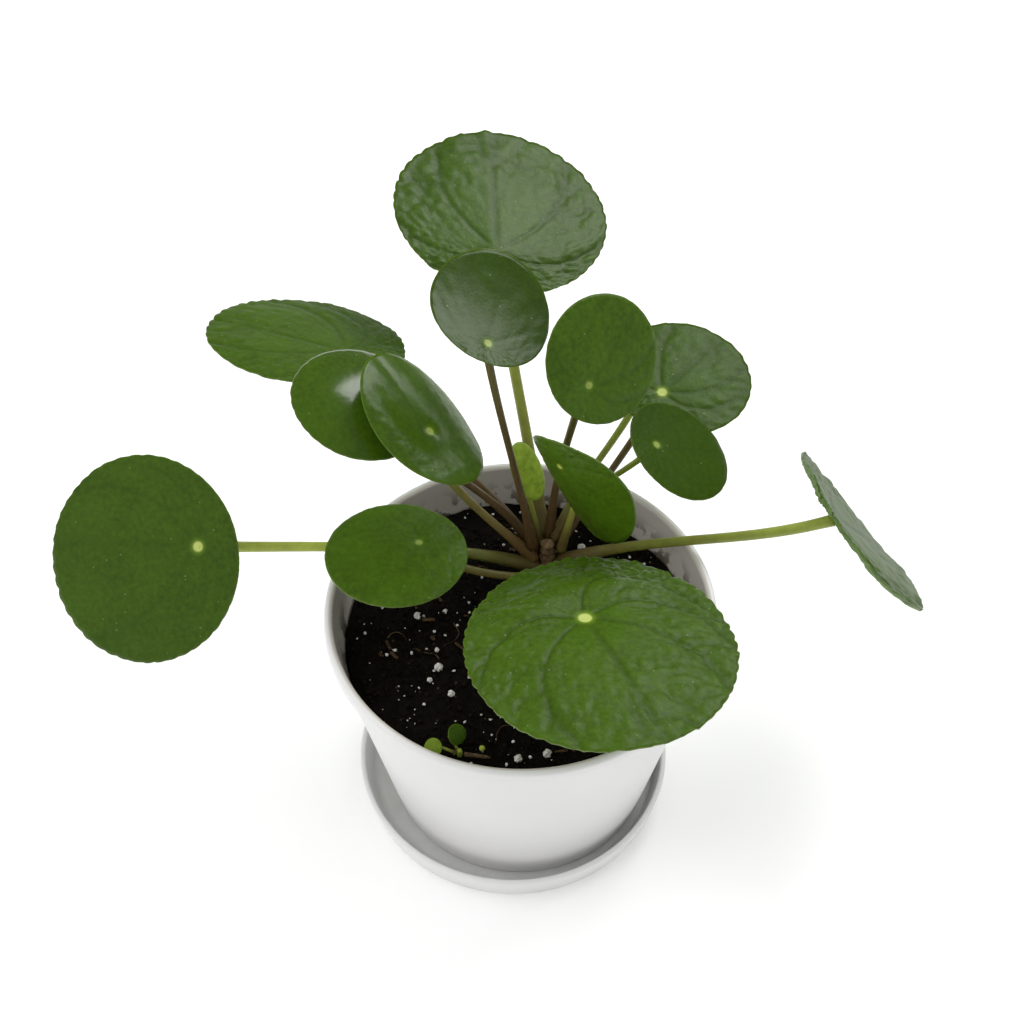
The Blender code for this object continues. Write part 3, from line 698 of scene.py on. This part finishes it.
# What sets each blade apart: the depths of its scallops and of its wrinkles, the slope of
# its sides up from the midrib, the height of the shoulder round its hub, how far it sags
# between hub and tip, how far its green lies from the middle one towards the deep one (below
# 0 it is lighter), its roughness, how strongly it mirrors light, and the strength of its spot.
BladeLook = namedtuple("BladeLook", "scallop wrinkle crease shoulder sag dark roughness shine spot")
BLADE_LOOKS = {
    "far_left": BladeLook(0.00070, 0.00021, 0.00, 0.0000, 0.0000, 0.40, 0.44, 0.28, 0.9),
    "back_left": BladeLook(0.00060, 0.00030, 0.02, 0.0000, 0.0000, 0.15, 0.50, 0.12, 0.0),
    "domed": BladeLook(0.00025, 0.00007, 0.00, 0.0000, 0.0000, 0.45, 0.17, 0.75, 0.0),
    "long": BladeLook(0.00000, 0.00012, 0.18, 0.0000, 0.0000, 0.15, 0.26, 0.40, 0.6),
    "low_left": BladeLook(0.00015, 0.00020, 0.00, 0.0003, 0.0000, -0.05, 0.40, 0.22, 0.4),
    "top": BladeLook(0.00070, 0.00060, -0.13, 0.0000, 0.0000, 0.30, 0.42, 0.36, 0.0),
    # The upper middle blade's deep green is partly painted shade, for its top turned away from the
    # light.
    "upper_middle": BladeLook(0.00010, 0.00020, 0.00, 0.0000, 0.0024, 0.90, 0.31, 0.32, 0.5),
    "upper_right": BladeLook(0.00010, 0.00024, 0.00, 0.0000, 0.0000, 0.00, 0.42, 0.22, 0.4),
    "back_right": BladeLook(0.00035, 0.00040, 0.00, 0.0009, 0.0000, 0.45, 0.38, 0.20, 0.9),
    "dark_right": BladeLook(0.00015, 0.00016, 0.00, 0.0000, 0.0000, 1.00, 0.38, 0.05, 0.4),
    "front": BladeLook(0.00070, 0.00062, -0.03, 0.0036, 0.0000, 0.10, 0.40, 0.20, 1.3),
    "far_right": BladeLook(0.00060, 0.00072, 0.03, 0.0000, 0.0000, 0.30, 0.46, 0.28, 0.8),
    "folded": BladeLook(0.00010, 0.00020, 0.00, 0.0000, 0.0000, -0.25, 0.36, 0.45, 0.3),
    "young": BladeLook(0.00000, 0.00010, 0.00, 0.0000, 0.0000, 0.00, 0.45, 0.25, 0.0),
    "sheltered": BladeLook(0.00010, 0.00012, 0.00, 0.0000, 0.0000, 0.20, 0.45, 0.20, 0.5),
    "plantlet_light": BladeLook(0.00000, 0.00005, 0.00, 0.0000, 0.0000, 0.00, 0.45, 0.25, 0.0),
    "plantlet_dark": BladeLook(0.00000, 0.00005, 0.00, 0.0000, 0.0000, 0.00, 0.40, 0.25, 0.0),
}
BRIGHT_BLADES = ("young", "plantlet_light")


def welded(name):
    """A copy of a CAD node's mesh with its triangles joined up."""
    shape = bmesh.new()
    shape.from_mesh(frame["nodes"][name].data)
    bmesh.ops.remove_doubles(shape, verts=shape.verts, dist=1e-6)
    shape.verts.index_update()
    shape.normal_update()
    return shape


def blade_surface(name):
    """The smooth top of a CAD blade: its hub, its up direction, and the cubic terms that
    carry a share of the way to the margin, at each fine sector, to a point."""
    shape = welded("blade_" + name)
    stalk = [vert.co for vert in frame["nodes"]["petiole_" + name].data.vertices]
    hubs = [vert for vert in shape.verts if len(vert.link_edges) == BLADE_SECTORS]
    top = max(hubs, key=lambda hub: min((hub.co - point).length for point in stalk))
    rings = [[top]]
    seen = {top}
    for _ in range(BLADE_RINGS):
        ring = {edge.other_vert(vert) for vert in rings[-1] for edge in vert.link_edges} - seen
        seen |= ring
        rings.append(sorted(ring, key=lambda vert: vert.index))
    hub = top.co.copy()
    up = top.normal.copy()
    tip = max(rings[-1], key=lambda vert: (vert.co - hub).length).co - hub
    along = (tip - up * tip.dot(up)).normalized()
    across = up.cross(along)
    half_sector = math.pi / BLADE_SECTORS

    def turn(vert):
        step = vert.co - hub
        return (math.atan2(step.dot(across), step.dot(along)) + half_sector) % math.tau

    grid = np.array([[tuple(vert.co - hub) for vert in sorted(ring, key=turn)] for ring in rings[1:]])
    shape.free()
    margin = np.linalg.norm(grid[-1], axis=1).mean()
    sectors = BLADE_SECTORS * max(4, round(math.tau * margin / FINE_STEP / BLADE_SECTORS))
    fine = np.fft.irfft(np.fft.rfft(grid, axis=1), sectors, axis=1) * sectors / BLADE_SECTORS
    shares = np.arange(1, BLADE_RINGS + 1) / BLADE_RINGS
    fit = np.linalg.pinv(shares[:, None] ** np.arange(1, 4))
    return np.array(hub), np.array(up), np.einsum("pk,kjc->pjc", fit, fine)


def vein_lines(rng):
    """Veins on a disc of radius 1 with the hub in its middle and the tip along +X, as lines of
    points: the main ones fan out from the hub and bend towards the tip, and side ones fork off."""
    mains = []
    sides = []
    for lean in (0, 52, -56, 112, -106, 165):
        lean = math.radians(lean + rng.uniform(-8, 8))
        sway = rng.uniform(0.30, 0.62)
        main = []
        for step in range(11):
            t = step / 10
            turn = lean * (1 - sway * t * t)
            main.append((t * 0.98 * math.cos(turn), t * 0.98 * math.sin(turn)))
        mains.append(main)
        for hand in (-1, 1):
            for step in (rng.choice((3, 4)), rng.choice((5, 6)), rng.choice((7, 8))):
                x, y = main[step]
                heading = math.atan2(y, x) + hand * rng.uniform(0.65, 1.05)
                side = [(x, y)]
                for _ in range(rng.randint(4, 7)):
                    x += 0.055 * math.cos(heading)
                    y += 0.055 * math.sin(heading)
                    heading -= hand * rng.uniform(0.05, 0.28)
                    side.append((x, y))
                sides.append(side)
    return mains, sides


def nearest_line(points, lines):
    """Distance from each point to the nearest of the lines."""
    best = np.full(len(points), 9.0)
    for line in lines:
        for start, end in zip(line, line[1:]):
            a = np.array(start)
            span = np.array(end) - a
            along = np.clip(((points - a) @ span) / (span @ span), 0, 1)
            away = points - a - along[:, None] * span
            best = np.minimum(best, np.hypot(away[:, 0], away[:, 1]))
    return best


def smooth_step(value, low, high):
    """0 below low, 1 above high, smooth between."""
    t = np.clip((value - low) / (high - low), 0, 1)
    return t * t * (3 - 2 * t)


def blade_relief(flat, share, metres, look, seed):
    """How far each point of a blade stands above its smooth surface, and how much it lies in its veins
    and the creases between its swellings, which the top's finish darkens as painted shade.
    """
    rng = random.Random(seed)
    mains, sides = vein_lines(rng)
    size = metres.mean()
    reach = share * metres
    points = flat.reshape(-1, 2)
    midrib = nearest_line(points, mains[:1]).reshape(share.shape) * size
    main = nearest_line(points, mains).reshape(share.shape) * size
    side = nearest_line(points, sides).reshape(share.shape) * size
    fade = smooth_step(share, 0.03, 0.15)
    furrow = np.exp(-(main / MAIN_VEIN_WIDTH) ** 2) * fade
    fork = np.exp(-(side / SIDE_VEIN_WIDTH) ** 2) * fade
    pillow = smooth_step(np.minimum(main, side), 0.0, PILLOW_WIDTH) * fade
    wave = np.zeros(share.shape)
    crinkle = np.zeros(share.shape)
    for index, (x, y) in enumerate(points):
        place = Vector((x * size, y * size, seed * 0.37))
        row, column = divmod(index, share.shape[1])
        wave[row, column] = noise.noise(place / WAVE_CELL)
        warp = noise.noise_vector(place / WARP_CELL) * 0.45
        cells = noise.voronoi(place / CRINKLE_CELL + warp)[0]
        ridge = min(cells[1] - cells[0], 0.5) * 2
        crinkle[row, column] = ridge + 0.5 * noise.noise(place / GRAIN_CELL)
    rough = 0.12 + 0.88 * smooth_step(share, 0.15, 0.90)
    strong = min(1.0, look.wrinkle / FULL_WRINKLE)
    depth = look.wrinkle * strong
    relief = look.wrinkle * rough * 0.95 * crinkle + depth * rough * (0.50 * pillow - 0.35 * fork)
    relief -= min(depth, FURROW_LIMIT) * 0.55 * furrow
    relief += wave * (WAVE_DEPTH + look.wrinkle) * share
    relief += look.crease * CREASE_REACH * (1 - np.exp(-midrib / CREASE_REACH)) * fade
    behind = 0.25 + 0.75 * smooth_step(-flat[:, :, 0], -0.15, 0.35)
    shoulder = (1 - np.exp(-(reach / SHOULDER_REACH) ** 2)) * (1 - smooth_step(share, 0.40, 0.95))
    relief += look.shoulder * shoulder * behind
    ahead = flat[:, :, 0] * metres / metres.max()
    relief += look.sag * 4 * ahead * (ahead - 1)
    if look.spot > 0:
        relief -= DIMPLE_DEPTH * np.exp(-(reach / DIMPLE_RADIUS) ** 2)
    # Veins and the creases between swellings, stronger on deeply wrinkled blades; the top's finish
    # paints shade along them.
    net = (0.6 * fork + 0.5 * np.clip(1 - crinkle, 0, 1)) * rough * strong
    return relief, np.clip(furrow * (0.1 + 0.9 * strong ** 2) + net * strong, 0, 1)


def leaf_finish(name, look):
    """The waxy top of a blade: mottled green, with painted shade along its sunken veins and in the
    creases between its swellings, and a pale hub spot.
    """
    bright = name in BRIGHT_BLADES
    mid = LEAF_PALE if bright else tuple(m + (d - m) * look.dark
                                         for m, d in zip(LEAF_MID, LEAF_DEEP))
    deep = LEAF_MID if bright else LEAF_DEEP
    finish, tree, shader = start_finish("leaf_" + name, look.roughness, Specular_IOR_Level=look.shine)
    cloud = use_group(tree, MOTTLE, Light=(*mid, 1), Dark=(*deep, 1),
                      Scale=220.0 if bright else 55.0, Amount=0.6)
    fine = use_group(tree, MOTTLE, Light=(0, 0, 0, 1), Dark=(1, 1, 1, 1), Scale=620.0, Amount=0.50)
    vein = add_node(tree, "ShaderNodeAttribute", attribute_name="vein").outputs["Fac"]
    reach = add_node(tree, "ShaderNodeAttribute", attribute_name="hub_distance").outputs["Fac"]
    edge = add_node(tree, "ShaderNodeAttribute", attribute_name="edge_distance").outputs["Fac"]
    lighter = tuple(value * 1.55 for value in mid)
    colour = blend_colours(tree, fine.outputs["Mask"], cloud.outputs["Color"], lighter)
    # Painted shade: darker along the sunken veins and in the creases between swellings, more on deeply
    # wrinkled blades.
    furrow = times(tree, vein, 0.38)
    colour = blend_colours(tree, furrow, colour, tuple(value * 0.6 for value in deep))
    specks = use_group(tree, SPECKS, Scale=620.0, Size=0.16, Share=0.05)
    dots = times(tree, specks.outputs["Mask"], 0.35)
    colour = blend_colours(tree, dots, colour, (0.30, 0.42, 0.20))
    hem = times(tree, ramp_mask(tree, edge, 0.0002, 0.0006), 0.18)
    colour = blend_colours(tree, hem, colour, LEAF_PALE)
    if look.spot > 0:
        size = 0.5 + 0.6 * look.spot
        around = ramp_mask(tree, reach, SPOT_RADIUS * 0.6, HALO_RADIUS * size)
        halo = times(tree, around, 0.75 * look.spot)
        colour = blend_colours(tree, halo, colour, (0.16, 0.26, 0.02))
        inside = ramp_mask(tree, reach, SPOT_RADIUS * 0.7 * size, SPOT_RADIUS * 1.25 * size)
        core = times(tree, inside, look.spot)
        colour = blend_colours(tree, core, colour, LEAF_SPOT)
    tree.links.new(colour, shader.inputs["Base Color"])
    grain = use_group(tree, GRAIN, Scale=1100.0, Height=0.0006 * look.roughness ** 2)
    tree.links.new(grain.outputs["Normal"], shader.inputs["Normal"])
    return finish


def under_finish():
    """The matt, paler underside of a blade."""
    finish, tree, shader = start_finish("leaf_underside", 0.6)
    cloud = use_group(tree, MOTTLE, Light=(*LEAF_UNDER, 1), Dark=(0.07, 0.15, 0.03, 1),
                      Scale=90.0, Amount=0.7)
    vein = add_node(tree, "ShaderNodeAttribute", attribute_name="vein").outputs["Fac"]
    colour = blend_colours(tree, times(tree, vein, 0.6), cloud.outputs["Color"], (0.20, 0.30, 0.09))
    tree.links.new(colour, shader.inputs["Base Color"])
    grain = use_group(tree, GRAIN, Scale=900.0, Height=0.0001)
    tree.links.new(grain.outputs["Normal"], shader.inputs["Normal"])
    return finish


def rim_finish():
    """The thin pale edge of a blade."""
    finish, tree, shader = start_finish("leaf_rim", 0.5)
    cloud = use_group(tree, MOTTLE, Light=(0.15, 0.22, 0.05, 1), Dark=(0.06, 0.12, 0.02, 1),
                      Scale=220.0, Amount=1.0)
    tree.links.new(cloud.outputs["Color"], shader.inputs["Base Color"])
    grain = use_group(tree, GRAIN, Scale=900.0, Height=0.0001)
    tree.links.new(grain.outputs["Normal"], shader.inputs["Normal"])
    return finish


UNDER = under_finish()
RIM = rim_finish()


def build_blade(name, seed):
    look = BLADE_LOOKS[name]
    hub, up, terms = blade_surface(name)
    metres = np.linalg.norm(terms.sum(axis=0), axis=1)
    sectors = len(metres)
    rings = max(10, round(metres.mean() / FINE_STEP))
    turn = math.tau * np.arange(sectors) / sectors
    share = np.repeat(np.linspace(0, 1, rings + 1)[:, None], sectors, axis=1)
    margin = terms.sum(axis=0)
    length = np.linalg.norm(margin - np.roll(margin, 1, axis=0), axis=1).cumsum()
    around = math.tau * length / length[-1]
    count = max(8, round(length[-1] / SCALLOP_PITCH))
    notch = 1 - np.abs(np.sin(count * around / 2 + 0.7 * np.sin(3 * around + seed))) ** 0.8
    cut = look.scallop * notch * (0.75 + 0.25 * np.sin(2 * around + seed)) / metres
    cut *= smooth_step(metres, 0.25 * metres.max(), 0.55 * metres.max())
    share_cut = share * (1 - cut * smooth_step(share, 0.80, 1.0))
    flat = np.stack([share * np.cos(turn), share * np.sin(turn)], axis=2)
    relief, vein = blade_relief(flat, share, metres, look, seed)
    relief += look.scallop * 0.35 * (0.5 - notch) * smooth_step(share, 0.78, 1.0)
    points = sum(share_cut[:, :, None] ** power * terms[power - 1][None] for power in (1, 2, 3))
    outward = np.gradient(points, axis=0)
    across = np.roll(points, -1, axis=1) - np.roll(points, 1, axis=1)
    normals = np.cross(outward, across)
    normals[0] = up
    normals /= np.linalg.norm(normals, axis=2, keepdims=True)
    thickness = LEAF_THICKNESS * min(1.0, metres.mean() / SMALL_BLADE)
    thick = thickness * (0.5 + 0.5 * smooth_step(1 - share, 0.0, 0.05)) + 0.25 * look.wrinkle * vein
    tops = hub + points + normals * relief[:, :, None]
    lows = tops - normals * thick[:, :, None]
    shape = bmesh.new()
    layers = [shape.verts.layers.float.new(label) for label in ("vein", "hub_distance", "edge_distance")]
    spun(shape, [(index / rings, 0.0) for index in range(rings + 1)], sectors, weld=1e-5)
    top_faces = shape.faces[:]
    made = bmesh.ops.extrude_face_region(shape, geom=shape.verts[:] + shape.edges[:] + top_faces,
                                         use_keep_orig=True)["geom"]
    lower = {item for item in made if isinstance(item, bmesh.types.BMVert)}
    under_faces = {item for item in made if isinstance(item, bmesh.types.BMFace)}
    top_faces = set(top_faces)
    for vert in shape.verts:
        ring = round(vert.co.xy.length * rings)
        sector = round(math.atan2(vert.co.y, vert.co.x) / math.tau * sectors) % sectors
        place = lows[ring, sector] if vert in lower else tops[ring, sector]
        vert.co = Vector(np.clip(place, cad_box[0], cad_box[1]))
        vert[layers[0]] = float(vein[ring, sector])
        vert[layers[1]] = float(share[ring, sector] * metres[sector])
        vert[layers[2]] = float((1 - share[ring, sector]) * metres[sector])
    for face in shape.faces:
        face.material_index = 0 if face in top_faces else 1 if face in under_faces else 2
    bmesh.ops.recalc_face_normals(shape, faces=shape.faces)
    slot = "leaf_green"
    if name in BRIGHT_BLADES:
        slot = "leaf_young"
    elif look.dark == 1.00:
        slot = "leaf_dark"
    add_piece("leaf_" + name, shape, [leaf_finish(name, look), UNDER, RIM], slot, "blade_" + name)


for index, blade_name in enumerate(BLADE_LOOKS):
    build_blade(blade_name, index + 1)


# ---- Leaf stalks ---------------------------------------------------------------------------
# Fleshy round petioles, one to a leaf. They are pale yellow-green where they are young and
# in the light, and turn olive brown towards the stem and on the older leaves.
STALK_SIDES = 8
SUBDIVISION_SHRINK = 1.11
STALK_SINK = 0.0012
FOOT_SWELL = 0.42
FOOT_START = 0.74


def stalk_finish(name, foot, middle, end):
    """A stalk's colour along its length, from the stem to the blade."""
    finish, tree, shader = start_finish(name, 0.42)
    along = add_node(tree, "ShaderNodeAttribute", attribute_name="along").outputs["Fac"]
    low = ramp_mask(tree, along, 0.05, 0.45)
    high = ramp_mask(tree, along, 0.40, 0.95)
    colour = blend_colours(tree, high, end, middle)
    colour = blend_colours(tree, low, colour, foot)
    streak = use_group(tree, MOTTLE, Light=(0, 0, 0, 1), Dark=(1, 1, 1, 1), Scale=260.0, Amount=0.45)
    shade = add_node(tree, "ShaderNodeMix", data_type="RGBA", blend_type="MULTIPLY")
    shade.inputs["B"].default_value = (0.62, 0.55, 0.45, 1.0)
    tree.links.new(streak.outputs["Mask"], shade.inputs["Factor"])
    tree.links.new(colour, shade.inputs["A"])
    tree.links.new(shade.outputs["Result"], shader.inputs["Base Color"])
    grain = use_group(tree, GRAIN, Scale=1200.0, Height=0.00012)
    tree.links.new(grain.outputs["Normal"], shader.inputs["Normal"])
    return finish


STALK_COLOURS = {
    "pale": ((0.110, 0.090, 0.020), (0.350, 0.420, 0.055), (0.400, 0.480, 0.065)),
    "green": ((0.100, 0.072, 0.018), (0.190, 0.220, 0.026), (0.260, 0.330, 0.040)),
    "olive": ((0.130, 0.078, 0.022), (0.150, 0.125, 0.026), (0.210, 0.230, 0.035)),
    "brown": ((0.085, 0.048, 0.015), (0.100, 0.064, 0.018), (0.120, 0.100, 0.022)),
}
STALK_FINISHES = {look: stalk_finish("stalk_" + look, *colours)
                  for look, colours in STALK_COLOURS.items()}
STALK_LOOKS = {
    "far_left": "pale", "far_right": "green", "top": "green", "young": "green", "sheltered": "green",
    "folded": "pale", "dark_right": "green", "low_left": "olive", "front": "olive", "long": "olive",
    "plantlet_light": "pale", "plantlet_dark": "green",
}
STALK_GIRTHS = {"far_left": 1.20, "far_right": 1.15, "top": 1.25}


def smooth_over(piece):
    """Round a coarse piece off with a subdivision modifier."""
    smooth = piece.modifiers.new("smooth", "SUBSURF")
    smooth.levels = 2
    smooth.render_levels = 2


def build_stalk(name):
    node = "petiole_" + name
    shape = welded(node)
    along = shape.verts.layers.float.new("along")
    crease = shape.edges.layers.float.new("crease_edge")
    blade = [vert.co for vert in frame["nodes"]["blade_" + name].data.vertices]
    reach = {vert: min((vert.co - point).length for point in blade) for vert in shape.verts}
    ring = sorted(shape.verts, key=lambda vert: reach[vert])[:STALK_SIDES]
    rings = [ring]
    seen = set(ring)
    while len(seen) < len(shape.verts):
        found = {edge.other_vert(vert) for vert in ring for edge in vert.link_edges} - seen
        seen |= found
        ring = sorted(found, key=lambda vert: vert.index)
        rings.append(ring)
    centres = [sum((vert.co for vert in ring), Vector()) / len(ring) for ring in rings]
    last = len(rings) - 1
    radius = (rings[0][0].co - centres[0]).length
    sink = min(STALK_SINK, radius)
    for index, (ring, centre) in enumerate(zip(rings, centres)):
        swell = SUBDIVISION_SHRINK * STALK_GIRTHS.get(name, 1.0)
        swell *= 1.0 + FOOT_SWELL * smooth_step(index / last, FOOT_START, 1.0)
        for vert in ring:
            vert.co = centre + (vert.co - centre) * float(swell)
            vert[along] = 1 - index / last
    for here, there in ((0, 1), (last, last - 1)):
        push = (centres[here] - centres[there]).normalized() * sink
        for vert in rings[here]:
            vert.co += push
        for edge in shape.edges:
            if all(vert in rings[here] for vert in edge.verts):
                edge[crease] = 1.0
    look = STALK_LOOKS.get(name, "brown")
    slot = "stalk_brown" if look == "brown" else "stalk_green"
    smooth_over(add_piece("stalk_" + name, shape, [STALK_FINISHES[look]], slot, node))


for blade_name in BLADE_LOOKS:
    build_stalk(blade_name)


# ---- Plantlet ------------------------------------------------------------------------------
# A young side shoot near the pot's front edge: a knob of stem that two small leaves grow
# from, a brown runner that lies on the soil, and a bud on the runner.
PLANTLET_SKIN = 0.00012


def build_plantlet():
    runner_bark = bark_finish("runner_bark", (0.14, 0.09, 0.04), (0.06, 0.035, 0.015))
    for name, finish, slot in (("plantlet_crown", STALK_FINISHES["green"], "stalk_green"),
                               ("plantlet_runner", runner_bark, "stem_bark"),
                               ("plantlet_bud", STALK_FINISHES["pale"], "leaf_young")):
        shape = welded(name)
        along = shape.verts.layers.float.new("along")
        for vert in shape.verts:
            vert.co += vert.normal * PLANTLET_SKIN
            vert[along] = 1.0
        smooth_over(add_piece(name + "_skin", shape, [finish], slot, name))


build_plantlet()


# ---- Studio --------------------------------------------------------------------------------
# A pale seamless floor, broad soft light from above and behind on the right, a weaker fill
# from the left, and a camera that looks down on the pot from the front.
CAMERA_PLACE = (-0.0028, -0.3590, 0.5617)
CAMERA_TILT = 40.6
CAMERA_LENS = 63.28
FLOOR_REACH = 4.0
SKY_LIGHT = 0.78
SKY_MIRRORED = 0.09


def build_floor():
    shape = bmesh.new()
    bmesh.ops.create_grid(shape, x_segments=1, y_segments=1, size=FLOOR_REACH)
    mesh = bpy.data.meshes.new("floor")
    shape.to_mesh(mesh)
    shape.free()
    floor = bpy.data.objects.new("floor", mesh)
    bpy.context.scene.collection.objects.link(floor)
    finish, tree, shader = start_finish("floor_paper", 0.9, Emission_Color=(1, 1, 1, 1),
                                        Emission_Strength=0.12)
    cloud = use_group(tree, MOTTLE, Light=(0.93, 0.93, 0.93, 1), Dark=(0.92, 0.92, 0.92, 1),
                      Scale=3.0, Amount=0.5)
    tree.links.new(cloud.outputs["Color"], shader.inputs["Base Color"])
    mesh.materials.append(finish)


def add_softbox(name, place, target, size, watts):
    lamp = bpy.data.lights.new(name, "AREA")
    lamp.shape = "RECTANGLE"
    lamp.size = size[0]
    lamp.size_y = size[1]
    lamp.energy = watts
    holder = bpy.data.objects.new(name, lamp)
    holder.location = place
    aim = Vector(target) - Vector(place)
    holder.rotation_euler = aim.to_track_quat("-Z", "Y").to_euler()
    bpy.context.scene.collection.objects.link(holder)
    return holder


def build_studio():
    build_floor()
    scene = bpy.context.scene
    world = bpy.data.worlds.new("studio")
    scene.world = world
    world.use_nodes = True
    sky = world.node_tree.nodes["Background"]
    sky.inputs["Color"].default_value = (1.0, 1.0, 1.0, 1.0)
    rays = add_node(world.node_tree, "ShaderNodeLightPath")
    light = add_node(world.node_tree, "ShaderNodeMapRange", To_Min=SKY_LIGHT, To_Max=SKY_MIRRORED)
    world.node_tree.links.new(rays.outputs["Is Glossy Ray"], light.inputs["Value"])
    world.node_tree.links.new(light.outputs["Result"], sky.inputs["Strength"])
    add_softbox("key_back_right", place=(0.70, 0.95, 1.25), target=(0.0, 0.0, 0.10),
                size=(1.1, 0.9), watts=14.0)
    fill = add_softbox("fill_left", place=(-1.1, -0.1, 1.1), target=(0.0, 0.0, 0.08),
                       size=(1.6, 1.6), watts=10.0)
    fill.visible_glossy = False
    lens = bpy.data.cameras.new("camera")
    lens.lens = CAMERA_LENS
    lens.sensor_width = 36.0
    camera = bpy.data.objects.new("camera", lens)
    camera.location = CAMERA_PLACE
    camera.rotation_euler = (math.radians(CAMERA_TILT), 0.0, 0.0)
    scene.collection.objects.link(camera)
    scene.camera = camera
    scene.view_settings.view_transform = "Standard"


build_studio()
